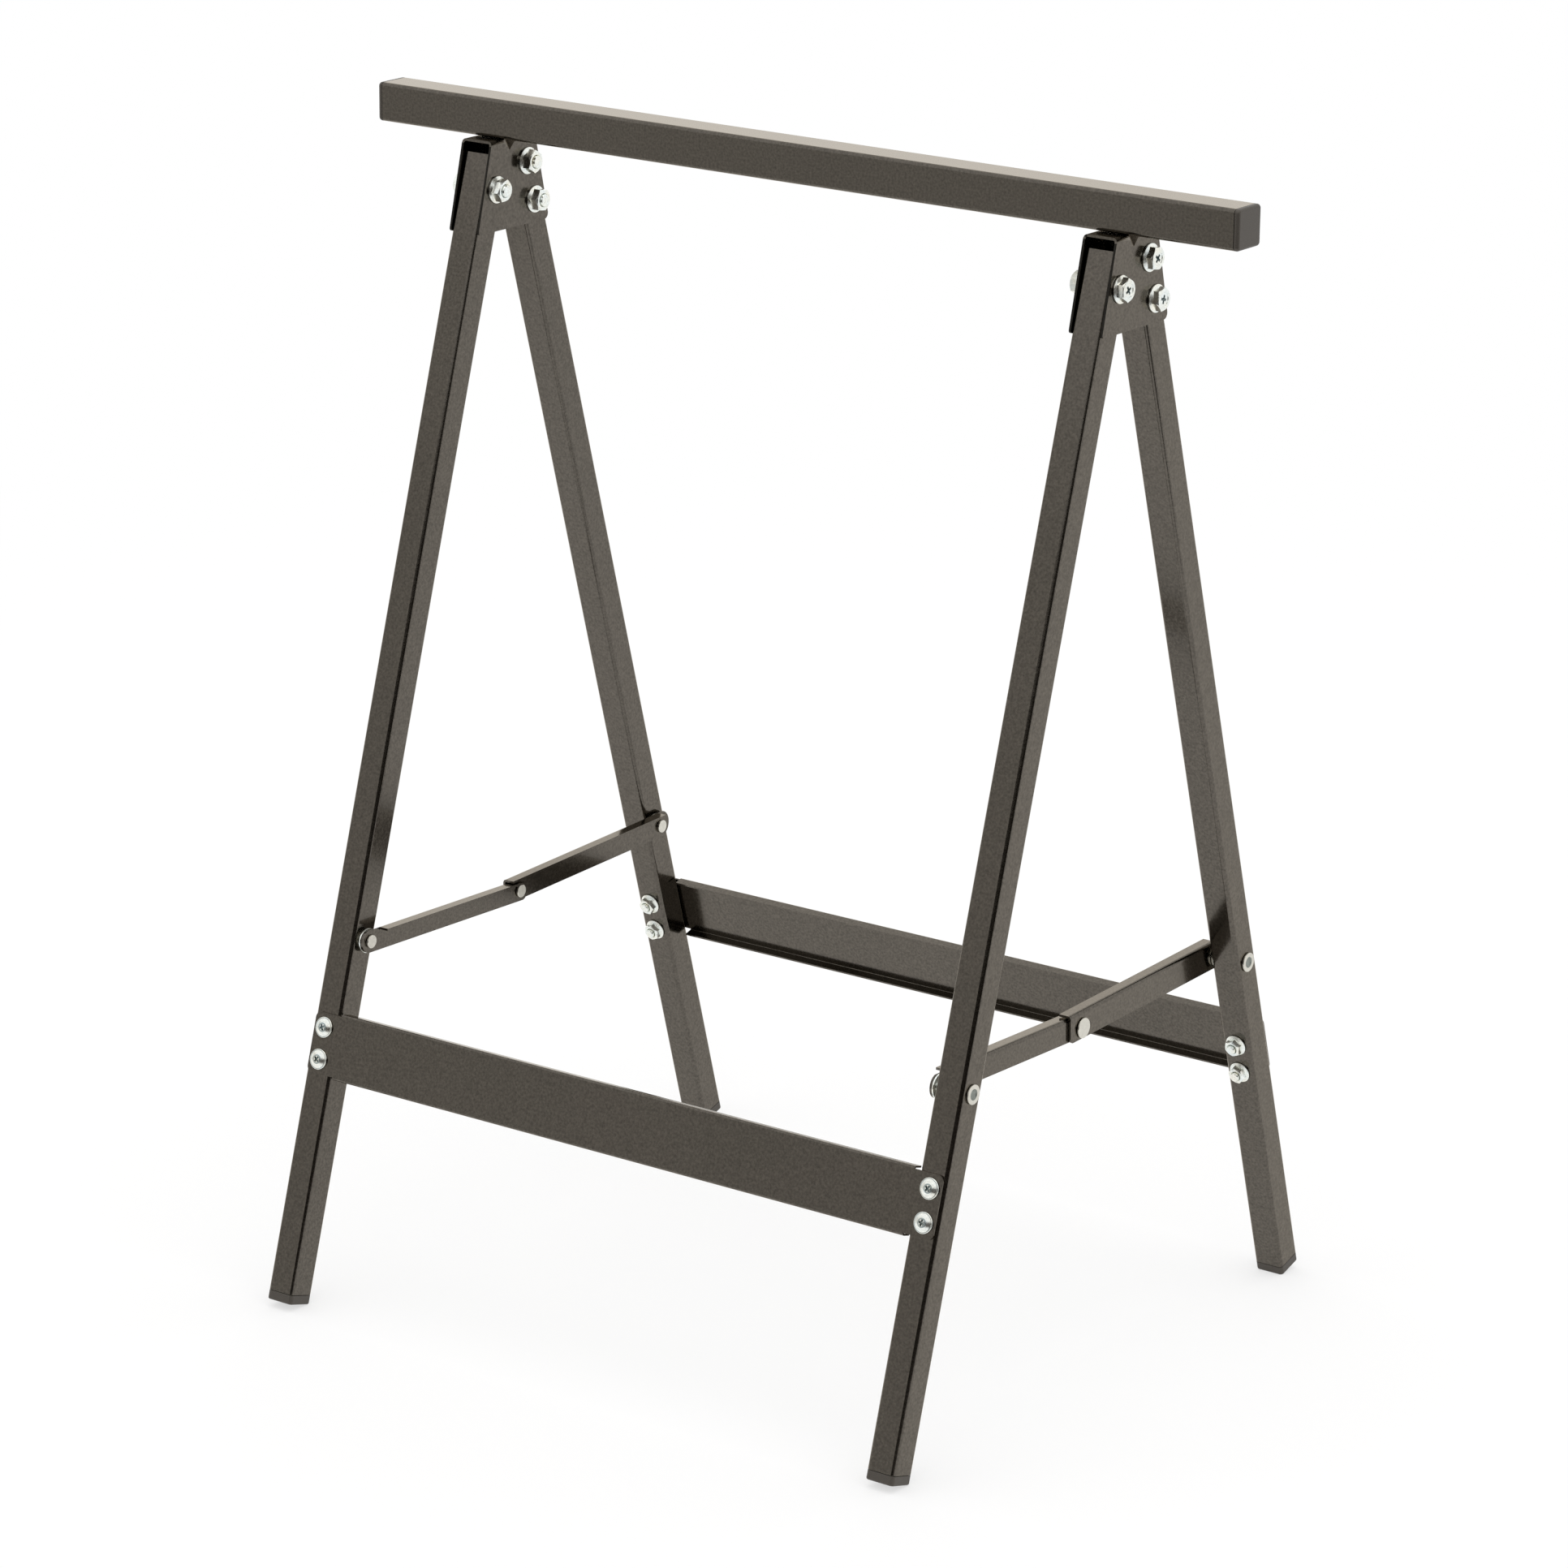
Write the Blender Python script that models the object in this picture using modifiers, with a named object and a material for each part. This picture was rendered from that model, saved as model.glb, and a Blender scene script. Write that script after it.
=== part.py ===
"""Folding work trestle: a beam on two sheet brackets, a fixed rear leg frame and a hinged front leg frame.

X runs along the beam, the front frame is at -Y, and Z is up from the floor below the beam's middle.
Each leg frame is drawn in its own axes: X across, Y out of the trestle and Z up the legs from the hinge.
"""

import math

import bmesh
import bpy
from mathutils import Matrix, Vector

MM = 0.001

# Overall sizes
TOTAL_HEIGHT = 750 * MM
LEG_TILT = math.radians(16.35)

# Clearances
SEAT_GAP = 0.3 * MM
HOLE_GAP = 0.3 * MM
CUT_OVER = 0.1 * MM
CUT_SPARE = 1 * MM
BLANK_SPARE = 20 * MM
LEG_TOP_GAP = 2.1 * MM
LEG_SWING_GAP = 6.3 * MM
FLANGE_TO_LEG_GAP = 3 * MM

# Beam
BEAM_SIZE = 25 * MM
BEAM_WALL = 1.5 * MM
BEAM_LENGTH = 640 * MM
BEAM_OVERHANG = 75.5 * MM
BEAM_CORNER = 2.5 * MM
BEAM_CAP_THICKNESS = 3 * MM
BEAM_CAP_PLUG = 14 * MM

# Legs
LEG_SIZE = 20 * MM
LEG_WALL = 1.2 * MM
LEG_CORNER = 2.5 * MM
FRONT_LEG_ABOVE_PIVOT = 20.7 * MM
REAR_LEG_ABOVE_PIVOT = 24 * MM
FOOT_THICKNESS = 6 * MM
FOOT_PLUG = 18 * MM
FOOT_EDGE = 1.2 * MM
PLUG_WALL = 2 * MM

# Brackets
BRACKET_SHEET = 1.6 * MM
BRACKET_BEND = 3 * MM
BRACKET_BELOW_PIVOT = 26.8 * MM
BRACKET_TOP_LIP = 2.8 * MM
BRACKET_FRONT_ROUND = 2.5 * MM
BRACKET_REAR_ROUND = 5 * MM
DART_WIDTH = 11 * MM
DART_LENGTH = 6.2 * MM
DART_DEPTH = 1.2 * MM
DART_FORWARD = 4 * MM
REAR_BOLT_UP = 14.5 * MM
REAR_BOLT_DOWN = 12.5 * MM

# Rails
RAIL_HEIGHT = 42.5 * MM
RAIL_SHEET = 1.2 * MM
RAIL_FLANGE = 7 * MM
RAIL_BEND = 1.6 * MM
RAIL_ABOVE_FOOT = 168.4 * MM
RAIL_TAB_CLEAR = 0.1 * MM
RAIL_TAB_ROUND = 4 * MM
RAIL_END_INSET = 0.8 * MM
RAIL_SCREW_SPACING = 20.7 * MM

# Braces
BRACE_ABOVE_FOOT = 237.9 * MM
BRACE_SAG = 5.5 * MM
BRACE_MIDDLE_FORWARD = 1.2 * MM
LINK_SHEET = 1.5 * MM
LINK_BEND = 2.5 * MM
LINK_FLANGE = 8.5 * MM
REAR_LINK_HEIGHT = 18 * MM
FRONT_LINK_HEIGHT = 15.2 * MM
REAR_LINK_HOLE_LOW = 1.2 * MM
REAR_LINK_HOLE_DROP = 0.8 * MM
REAR_LINK_OVERRUN = 13 * MM
REAR_LINK_ROUND = 3 * MM
REAR_WASHER_THICKNESS = 1.5 * MM
FRONT_FLANGE_START = 13 * MM
FRONT_FLANGE_END = 4 * MM
FRONT_TAIL_ROUND = 7.2 * MM
FRONT_TAIL_LOW_ROUND = 4.3 * MM
END_ROUND_SHARE = 0.98

# Shares of a flange's thickness, a hexagon's width and a pin's radius
FLANGE_CROWN = 1.6
FLANGE_RIM = 0.7
HEXAGON_CHAMFER = 0.08
TIP_CHAMFER = 0.2

# Bracket bolts and nuts
BOLT_RADIUS = 4 * MM
BOLT_ACROSS_FLATS = 13 * MM
BOLT_FLANGE_RADIUS = 8.6 * MM
BOLT_FLANGE_THICKNESS = 1.4 * MM
BOLT_HEAD_HEIGHT = 6.2 * MM
BOLT_NUT_HEIGHT = 7.4 * MM
BOLT_OVERHANG = 2 * MM

# Rail screws and nuts
SCREW_RADIUS = 3 * MM
SCREW_FLANGE_RADIUS = 6.7 * MM
SCREW_FLANGE_THICKNESS = 0.9 * MM
SCREW_DOME_RADIUS = 4.7 * MM
SCREW_DOME_HEIGHT = 2.6 * MM
SCREW_DOME_TURNS = (0, 40, 78)
SCREW_NUT_ACROSS_FLATS = 10 * MM
SCREW_NUT_FLANGE_RADIUS = 7 * MM
SCREW_NUT_FLANGE_THICKNESS = 1.1 * MM
SCREW_NUT_HEIGHT = 5.6 * MM
SCREW_OVERHANG = 1.8 * MM

# Rivets
RIVET_RADIUS = 2.8 * MM
RIVET_TAIL_RADIUS = 6.2 * MM
RIVET_TAIL_THICKNESS = 1.2 * MM
RIVET_DIMPLE_RADIUS = 2.4 * MM
RIVET_DIMPLE_DEPTH = 0.7 * MM
RIVET_HEAD_RADIUS = 4.3 * MM
RIVET_HEAD_THICKNESS = 1.5 * MM
MIDDLE_RIVET_RADIUS = 6.5 * MM
MIDDLE_RIVET_THICKNESS = 1.2 * MM
WASHER_RADIUS = 8 * MM
RIVET_EDGE = 0.5 * MM

# Faces round a curve
ROUND_STEPS = 16
HOLE_STEPS = 12
CORNER_STEPS = 2

# Worked out from the sizes above
LEGS_WIDTH = BEAM_LENGTH - 2 * BEAM_OVERHANG
WEB_TOP = TOTAL_HEIGHT - BEAM_SIZE - SEAT_GAP
PIVOT_DROP = BRACKET_SHEET + LEG_SWING_GAP + math.hypot(FRONT_LEG_ABOVE_PIVOT, LEG_SIZE / 2)
PIVOT_HEIGHT = WEB_TOP - PIVOT_DROP
PIVOT_OUT = FRONT_LEG_ABOVE_PIVOT * math.sin(LEG_TILT) + LEG_SIZE / 2 * math.cos(LEG_TILT) + LEG_TOP_GAP
LEG_BELOW_PIVOT = (PIVOT_HEIGHT - (LEG_SIZE / 2 - FOOT_EDGE) * math.sin(LEG_TILT)) / math.cos(LEG_TILT)
LEG_X = LEGS_WIDTH / 2 - LEG_SIZE / 2
LEG_INNER_X = LEGS_WIDTH / 2 - LEG_SIZE
RAIL_LEVEL = RAIL_ABOVE_FOOT - LEG_BELOW_PIVOT
BRACE_LEVEL = BRACE_ABOVE_FOOT - LEG_BELOW_PIVOT
LINK_REACH = LINK_FLANGE + LINK_SHEET + SEAT_GAP
REAR_LINK_X = LEG_INNER_X - REAR_WASHER_THICKNESS - 2 * SEAT_GAP
FRONT_LINK_X = REAR_LINK_X - LINK_SHEET - SEAT_GAP
SPACER_THICKNESS = LEG_INNER_X - FRONT_LINK_X - 2 * SEAT_GAP

SIDES = {"left": -1, "right": 1}

FINISHES = {
    "dark_paint": ((0.105, 0.098, 0.088), 0.22, 0.85),
    "zinc": ((0.72, 0.74, 0.75), 0.28, 1.0),
    "rivet_steel": ((0.62, 0.62, 0.60), 0.35, 1.0),
    "cap_plastic": ((0.035, 0.032, 0.030), 0.45, 0.0),
}


def clear_scene():
    """Empties the scene and returns a collection for the parts and one for the shapes that cut them."""
    for old in list(bpy.data.objects):
        bpy.data.objects.remove(old, do_unlink=True)
    parts = bpy.data.collections.new("work_trestle")
    cutters = bpy.data.collections.new("cutters")
    bpy.context.scene.collection.children.link(parts)
    bpy.context.scene.collection.children.link(cutters)
    cutters.hide_render = True
    return parts, cutters


def add_to(collection, name, mesh):
    """Adds an object that shows a mesh."""
    shown = bpy.data.objects.new(name, mesh)
    collection.objects.link(shown)
    return shown


def finish_material(name):
    """Makes a Principled material from the table of finishes, once."""
    if name in bpy.data.materials:
        return bpy.data.materials[name]
    colour, roughness, metallic = FINISHES[name]
    material = bpy.data.materials.new(name)
    material.use_nodes = True
    shader = material.node_tree.nodes["Principled BSDF"]
    shader.inputs["Base Color"].default_value = (*colour, 1)
    shader.inputs["Roughness"].default_value = roughness
    shader.inputs["Metallic"].default_value = metallic
    return material


class Workshop:
    """Holds the two collections and makes, cuts and bakes shapes in them."""

    def __init__(self):
        self.parts, self.cutters = clear_scene()

    def from_bmesh(self, name, shape):
        """Turns a bmesh into a wire object among the cutters."""
        mesh = bpy.data.meshes.new(name)
        shape.to_mesh(mesh)
        shape.free()
        made = add_to(self.cutters, name, mesh)
        made.hide_render = True
        made.display_type = "WIRE"
        return made

    def box(self, name, size, centre=(0, 0, 0), open_faces=()):
        """A box, without the faces that look along the directions in open_faces."""
        shape = bmesh.new()
        place = Matrix.Translation(centre) @ Matrix.Diagonal((*size, 1))
        bmesh.ops.create_cube(shape, size=1, matrix=place)
        shape.normal_update()
        opened = [face for face in shape.faces for way in open_faces if face.normal.dot(Vector(way)) > 0.9]
        bmesh.ops.delete(shape, geom=opened, context="FACES_ONLY")
        return self.from_bmesh(name, shape)

    def rod(self, name, radius, length, centre=(0, 0, 0), axis="Z", steps=HOLE_STEPS):
        """A round rod along an axis."""
        turns = {
            "X": Matrix.Rotation(math.pi / 2, 4, "Y"),
            "Y": Matrix.Rotation(math.pi / 2, 4, "X"),
            "Z": Matrix(),
        }
        shape = bmesh.new()
        bmesh.ops.create_cone(shape, cap_ends=True, segments=steps, radius1=radius, radius2=radius,
                              depth=length, matrix=Matrix.Translation(centre) @ turns[axis])
        return self.from_bmesh(name, shape)

    def turned(self, name, profile, steps=ROUND_STEPS):
        """A round solid whose profile of (radius, height) points runs down from the top of its axis."""
        mesh = bpy.data.meshes.new(name)
        edges = [(i, i + 1) for i in range(len(profile) - 1)]
        mesh.from_pydata([(radius, 0, height) for radius, height in profile], edges, [])
        made = add_to(self.cutters, name, mesh)
        made.hide_render = True
        made.display_type = "WIRE"
        screw = made.modifiers.new("turn", "SCREW")
        screw.steps = steps
        screw.render_steps = steps
        screw.use_merge_vertices = True
        screw.merge_threshold = 0.00001
        return self.solid(name, made)

    def outline(self, name, points, depth):
        """A plate with an outline of (x, y) points, half of its depth above z = 0 and half below."""
        curve = bpy.data.curves.new(name, "CURVE")
        curve.dimensions = "2D"
        curve.fill_mode = "BOTH"
        curve.extrude = depth / 2
        line = curve.splines.new("POLY")
        line.points.add(len(points) - 1)
        for knot, (x, y) in zip(line.points, points):
            knot.co = (x, y, 0, 1)
        line.use_cyclic_u = True
        flat = add_to(self.cutters, name, curve)
        flat.hide_render = True
        return self.solid(name, flat)

    def solid(self, name, source):
        """Bakes an object's modifiers or curve into a mesh with welded points and faces that look out."""
        mesh = self.bake(name, source)
        shape = bmesh.new()
        shape.from_mesh(mesh)
        bmesh.ops.remove_doubles(shape, verts=shape.verts, dist=0.00001)
        bmesh.ops.recalc_face_normals(shape, faces=shape.faces)
        return self.from_bmesh(name, shape)

    def bake(self, name, source):
        """Returns the mesh that an object shows, and removes the object."""
        graph = bpy.context.evaluated_depsgraph_get()
        mesh = bpy.data.meshes.new_from_object(source.evaluated_get(graph), depsgraph=graph)
        mesh.name = name
        bpy.data.objects.remove(source, do_unlink=True)
        return mesh

    def combine(self, body, tool, operation="DIFFERENCE"):
        """Cuts, joins or keeps the overlap of a body with a tool, which stays among the cutters."""
        step = body.modifiers.new(operation.lower(), "BOOLEAN")
        step.object = tool
        step.operation = operation
        step.solver = "EXACT"
        return body

    def bevel(self, body, width, steps=CORNER_STEPS):
        """Rounds a body's sharp edges."""
        edge = body.modifiers.new("round", "BEVEL")
        edge.width = width
        edge.segments = steps
        edge.limit_method = "ANGLE"
        return body

    def thicken(self, body, wall):
        """Gives an open skin a wall on its inner side."""
        skin = body.modifiers.new("wall", "SOLIDIFY")
        skin.thickness = wall
        skin.offset = -1
        skin.use_even_offset = True
        return body

    def move(self, body, matrix):
        """Moves a body's points, so that its origin stays where it is."""
        body.data.transform(matrix)
        return body

    def pattern(self, name, body, sharp=math.radians(40)):
        """Bakes a finished body into the mesh that its copies share."""
        mesh = self.bake(name, body)
        mesh.shade_smooth()
        mesh.set_sharp_from_angle(angle=sharp)
        return mesh

    def place(self, name, mesh, finish, parent, location=(0, 0, 0), turn=None):
        """Puts one copy of a mesh among the parts, in its parent's axes."""
        if not mesh.materials:
            mesh.materials.append(finish_material(finish))
        piece = add_to(self.parts, name, mesh)
        piece.parent = parent
        piece.matrix_local = Matrix.Translation(location) @ (turn or Matrix())
        return piece

    def frame(self, name, matrix, parent=None):
        """Adds an empty that carries the pieces of one group."""
        empty = add_to(self.parts, name, None)
        empty.parent = parent
        empty.matrix_local = matrix
        return empty


def rounded_outline(corners, steps=CORNER_STEPS):
    """Returns the points of an outline whose (x, y, radius) corners, the positive way round, become arcs."""
    points = []
    count = len(corners)
    for index, (x, y, radius) in enumerate(corners):
        here = Vector((x, y))
        before = (Vector(corners[index - 1][:2]) - here).normalized()
        after = (Vector(corners[(index + 1) % count][:2]) - here).normalized()
        if radius == 0:
            points.append((x, y))
            continue
        half = before.angle(after) / 2
        middle = here + (before + after).normalized() * (radius / math.sin(half))
        start = here + before * (radius / math.tan(half)) - middle
        end = here + after * (radius / math.tan(half)) - middle
        sweep = start.angle_signed(end)
        for step in range(steps + 1):
            spoke = start.copy()
            spoke.rotate(Matrix.Rotation(-sweep * step / steps, 2))
            points.append(tuple(middle + spoke))
    return points


def mirrored(mesh, name):
    """Returns a copy of a mesh mirrored in X."""
    shape = bmesh.new()
    shape.from_mesh(mesh)
    bmesh.ops.scale(shape, vec=(-1, 1, 1), verts=shape.verts)
    bmesh.ops.reverse_faces(shape, faces=shape.faces)
    copy = mesh.copy()
    shape.to_mesh(copy)
    shape.free()
    copy.name = name
    return copy


def square_tube(shop, name, size, wall, length, corner, axis):
    """A square tube about the origin, open at both ends of its axis."""
    long_way = Vector({"X": (1, 0, 0), "Z": (0, 0, 1)}[axis])
    sizes = [length if part else size for part in long_way]
    tube = shop.box(name, sizes, open_faces=(long_way, -long_way))
    shop.bevel(tube, corner)
    return shop.thicken(tube, wall)


def plugged_cap(shop, name, size, thickness, plug, wall, corner, edge):
    """A cap for a square tube's end at z = 0: a plate below it and a hollow plug in the tube above."""
    plate = shop.box(name, (size, size, thickness), (0, 0, -SEAT_GAP - thickness / 2))
    select_round(plate, corner, edge)
    inner = size - 2 * wall - 2 * SEAT_GAP
    overlap = thickness / 2
    stem = shop.box(name + "_plug", (inner, inner, plug + overlap), (0, 0, (plug - overlap) / 2))
    shop.bevel(stem, edge, 1)
    hollow = inner - 2 * PLUG_WALL
    pocket = shop.box(name + "_pocket", (hollow, hollow, plug), (0, 0, plug / 2 + SEAT_GAP))
    shop.combine(plate, shop.solid(name + "_plug", stem), "UNION")
    shop.combine(plate, pocket)
    return plate


def select_round(plate, corner, edge):
    """Rounds a cap plate: its four long edges by the tube's corner, then the rim of its outer face."""
    shape = bmesh.new()
    shape.from_mesh(plate.data)
    upright = [e for e in shape.edges if abs(e.verts[0].co.z - e.verts[1].co.z) > MM]
    bmesh.ops.bevel(shape, geom=upright, offset=corner, segments=CORNER_STEPS, profile=0.5, affect="EDGES")
    low = min(v.co.z for v in shape.verts)
    rim = [e for e in shape.edges if all(v.co.z < low + MM / 10 for v in e.verts)]
    bmesh.ops.bevel(shape, geom=rim, offset=edge, segments=2, profile=0.5, affect="EDGES")
    shape.to_mesh(plate.data)
    shape.free()


def hexagon(shop, name, across_flats, height, foot):
    """A hexagonal prism from the height foot up, with its upper corners turned off."""
    corner = across_flats / math.sqrt(3)
    chamfer = HEXAGON_CHAMFER * across_flats
    prism = shop.rod(name, corner, height, (0, 0, foot + height / 2), steps=6)
    top = foot + height
    wide = corner + chamfer / 2
    low = foot - CUT_SPARE
    barrel = shop.turned(name + "_barrel", [
        (0, top),
        (across_flats / 2, top),
        (wide, top - chamfer),
        (wide, low),
        (0, low),
    ])
    shop.combine(prism, barrel, "INTERSECT")
    return shop.solid(name, prism)


def flange_bolt(shop, name, grip):
    """A hexagon flange bolt that seats at z = 0, with its shank running down past the nut."""
    length = grip + 2 * SEAT_GAP + BOLT_NUT_HEIGHT + BOLT_OVERHANG
    tip = BOLT_RADIUS * TIP_CHAMFER
    body = shop.turned(name, [
        (0, BOLT_FLANGE_THICKNESS * FLANGE_CROWN),
        (BOLT_ACROSS_FLATS / 2, BOLT_FLANGE_THICKNESS * FLANGE_CROWN),
        (BOLT_FLANGE_RADIUS, BOLT_FLANGE_THICKNESS * FLANGE_RIM),
        (BOLT_FLANGE_RADIUS, 0),
        (BOLT_RADIUS, 0),
        (BOLT_RADIUS, tip - length),
        (BOLT_RADIUS - tip, -length),
        (0, -length),
    ])
    foot = BOLT_FLANGE_THICKNESS / 2
    head = hexagon(shop, name + "_hexagon", BOLT_ACROSS_FLATS, BOLT_HEAD_HEIGHT - foot, foot)
    shop.combine(body, head, "UNION")
    return shop.pattern(name, body)


def flange_nut(shop, name, across_flats, flange_radius, flange_thickness, height, bore):
    """A flange nut that seats at z = 0."""
    body = shop.turned(name, [
        (0, flange_thickness * FLANGE_CROWN),
        (across_flats / 2, flange_thickness * FLANGE_CROWN),
        (flange_radius, flange_thickness * FLANGE_RIM),
        (flange_radius, 0),
        (0, 0),
    ])
    foot = flange_thickness / 2
    prism = hexagon(shop, name + "_hexagon", across_flats, height - foot, foot)
    shop.combine(body, prism, "UNION")
    shop.combine(body, shop.rod(name + "_bore", hole_radius(bore), 4 * height))
    return shop.pattern(name, body)


def pan_screw(shop, name, grip):
    """A flanged pan-head screw that seats at z = 0 and runs down past its nut."""
    length = grip + 2 * SEAT_GAP + SCREW_NUT_HEIGHT + SCREW_OVERHANG
    tip = SCREW_RADIUS * TIP_CHAMFER
    crown = SCREW_DOME_HEIGHT - SCREW_FLANGE_THICKNESS
    dome = [(SCREW_DOME_RADIUS * math.sin(turn), SCREW_FLANGE_THICKNESS + crown * math.cos(turn))
            for turn in map(math.radians, SCREW_DOME_TURNS)]
    edge = SCREW_FLANGE_THICKNESS / 3
    body = shop.turned(name, dome + [
        (SCREW_FLANGE_RADIUS - edge, SCREW_FLANGE_THICKNESS),
        (SCREW_FLANGE_RADIUS, edge),
        (SCREW_FLANGE_RADIUS, 0),
        (SCREW_RADIUS, 0),
        (SCREW_RADIUS, tip - length),
        (SCREW_RADIUS - tip, -length),
        (0, -length),
    ])
    return shop.pattern(name, body)


def rivet_tail():
    """The profile of a rivet's wide end, with its dimple, from its top down to its seat at z = 0."""
    top = RIVET_TAIL_THICKNESS
    dimple = top - RIVET_DIMPLE_DEPTH
    return [
        (0, dimple),
        (RIVET_DIMPLE_RADIUS - RIVET_DIMPLE_DEPTH, dimple),
        (RIVET_DIMPLE_RADIUS, top),
        (RIVET_TAIL_RADIUS - RIVET_EDGE, top),
        (RIVET_TAIL_RADIUS, top - RIVET_EDGE),
        (RIVET_TAIL_RADIUS, 0),
        (RIVET_RADIUS, 0),
    ]


def rivet_head(seat):
    """The profile of a rivet's small flat end, which seats at the height given and faces down."""
    end = seat - RIVET_HEAD_THICKNESS
    return [
        (RIVET_RADIUS, seat),
        (RIVET_HEAD_RADIUS, seat),
        (RIVET_HEAD_RADIUS, end + RIVET_EDGE),
        (RIVET_HEAD_RADIUS - RIVET_EDGE, end),
        (0, end),
    ]


def ring(shop, name, outer, inner, thickness):
    """A flat ring from z = 0 up."""
    disc = shop.rod(name, outer, thickness, (0, 0, thickness / 2), steps=ROUND_STEPS)
    shop.combine(disc, shop.rod(name + "_hole", hole_radius(inner), 4 * thickness))
    return shop.pattern(name, disc)


def drill(shop, body, name, radius, centre, axis, length):
    """Drills a round hole through a body, with its flats clear of the pin."""
    return shop.combine(body, shop.rod(name, hole_radius(radius), length, centre, axis))


def hole_radius(pin):
    """The corner radius of a faceted hole whose flats clear a pin."""
    return (pin + HOLE_GAP) / math.cos(math.pi / HOLE_STEPS)


def leg_mesh(shop, name, above, bolt_levels):
    """A leg tube in its frame's axes, drilled for its bracket bolts, brace rivet and rail screws."""
    foot_end = -LEG_BELOW_PIVOT + FOOT_THICKNESS + SEAT_GAP
    length = above - foot_end
    tube = square_tube(shop, name, LEG_SIZE, LEG_WALL, length, LEG_CORNER, "Z")
    shop.move(tube, Matrix.Translation((0, 0, (above + foot_end) / 2)))
    through = 2 * LEG_SIZE
    for number, level in enumerate(bolt_levels):
        drill(shop, tube, f"{name}_bolt_hole_{number}", BOLT_RADIUS, (0, 0, level), "X", through)
    drill(shop, tube, f"{name}_rivet_hole", RIVET_RADIUS, (0, 0, BRACE_LEVEL), "X", through)
    for number, level in enumerate(screw_levels()):
        drill(shop, tube, f"{name}_screw_hole_{number}", SCREW_RADIUS, (0, 0, level), "Y", through)
    return shop.pattern(name, tube)


def screw_levels():
    """The heights of a rail's two screws up the leg."""
    return (RAIL_LEVEL + RAIL_SCREW_SPACING / 2, RAIL_LEVEL - RAIL_SCREW_SPACING / 2)


def rail_mesh(shop, name):
    """A C-channel rail in its frame's axes: its web lies on the legs and its flanges turn inwards."""
    web_out = LEG_SIZE / 2 + SEAT_GAP + RAIL_SHEET
    span = LEGS_WIDTH - 2 * RAIL_END_INSET
    size = (span + 2 * CUT_SPARE, RAIL_FLANGE, RAIL_HEIGHT)
    channel = shop.box(name, size, (0, web_out - RAIL_FLANGE / 2, RAIL_LEVEL),
                       open_faces=((1, 0, 0), (-1, 0, 0), (0, -1, 0)))
    shop.bevel(channel, RAIL_BEND)
    shop.thicken(channel, RAIL_SHEET)
    blank = shop.outline(name + "_outline", rounded_outline(rail_corners(span / 2)), 4 * LEG_SIZE)
    shop.move(blank, Matrix.Translation((0, 0, RAIL_LEVEL)) @ Matrix.Rotation(math.pi / 2, 4, "X"))
    shop.combine(channel, blank, "INTERSECT")
    for side, way in SIDES.items():
        for number, level in enumerate(screw_levels()):
            centre = (way * LEG_X, web_out, level)
            drill(shop, channel, f"{name}_{side}_hole_{number}", SCREW_RADIUS, centre, "Y", LEG_SIZE)
    return shop.pattern(name, channel)


def rail_corners(end):
    """The corners of a rail's outline: flanges between the legs, and a rounded tab over each leg."""
    step = LEG_INNER_X - FLANGE_TO_LEG_GAP
    full = RAIL_HEIGHT / 2 + CUT_SPARE
    tab = RAIL_HEIGHT / 2 - RAIL_BEND - RAIL_TAB_CLEAR
    upper = [(end, tab, RAIL_TAB_ROUND), (step, tab, 0), (step, full, 0)]
    upper += [(-x, z, radius) for x, z, radius in reversed(upper)]
    return upper + [(-x, -z, radius) for x, z, radius in upper]


def bracket_mesh(shop, name):
    """An inverted-U bracket about its leg's middle in X, in the trestle's own Y and Z."""
    half = LEG_SIZE / 2 + SEAT_GAP + BRACKET_SHEET
    bottom = PIVOT_HEIGHT - BRACKET_BELOW_PIVOT
    depth = 2 * outer_face(bottom) + BLANK_SPARE
    foot = bottom - CUT_SPARE
    sheet = shop.box(name, (2 * half, depth, WEB_TOP - foot), (0, 0, (WEB_TOP + foot) / 2),
                     open_faces=((0, 1, 0), (0, -1, 0), (0, 0, -1)))
    shop.bevel(sheet, BRACKET_BEND)
    shop.thicken(sheet, BRACKET_SHEET)
    wide = outer_face(bottom)
    narrow = outer_face(WEB_TOP) + BRACKET_TOP_LIP
    corners = [(-wide, bottom, BRACKET_FRONT_ROUND), (wide, bottom, BRACKET_REAR_ROUND),
               (narrow, WEB_TOP + CUT_SPARE, 0), (-narrow, WEB_TOP + CUT_SPARE, 0)]
    blank = shop.outline(name + "_outline", rounded_outline(corners), 4 * half)
    shop.move(blank, Matrix.Rotation(math.pi / 2, 4, "Z") @ Matrix.Rotation(math.pi / 2, 4, "X"))
    shop.combine(sheet, blank, "INTERSECT")
    sheet = shop.solid(name, sheet)
    press_darts(shop, name, sheet, half)
    for kind, (y, z) in bolt_places().items():
        drill(shop, sheet, f"{name}_{kind}_hole", BOLT_RADIUS, (0, y, z), "X", 4 * half)
    return shop.pattern(name, sheet)


def outer_face(height):
    """How far out the legs' outer faces are at a height."""
    return PIVOT_OUT + (PIVOT_HEIGHT - height) * math.tan(LEG_TILT) + LEG_SIZE / 2 / math.cos(LEG_TILT)


def bolt_places():
    """The (y, z) of a bracket's pivot bolt and of its two bolts up the rear leg's middle."""
    places = {"pivot": (-PIVOT_OUT, PIVOT_HEIGHT)}
    for kind, level in (("upper", REAR_BOLT_UP), ("lower", -REAR_BOLT_DOWN)):
        up_the_leg = (PIVOT_OUT - level * math.sin(LEG_TILT), PIVOT_HEIGHT + level * math.cos(LEG_TILT))
        places[kind] = up_the_leg
    return places


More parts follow.
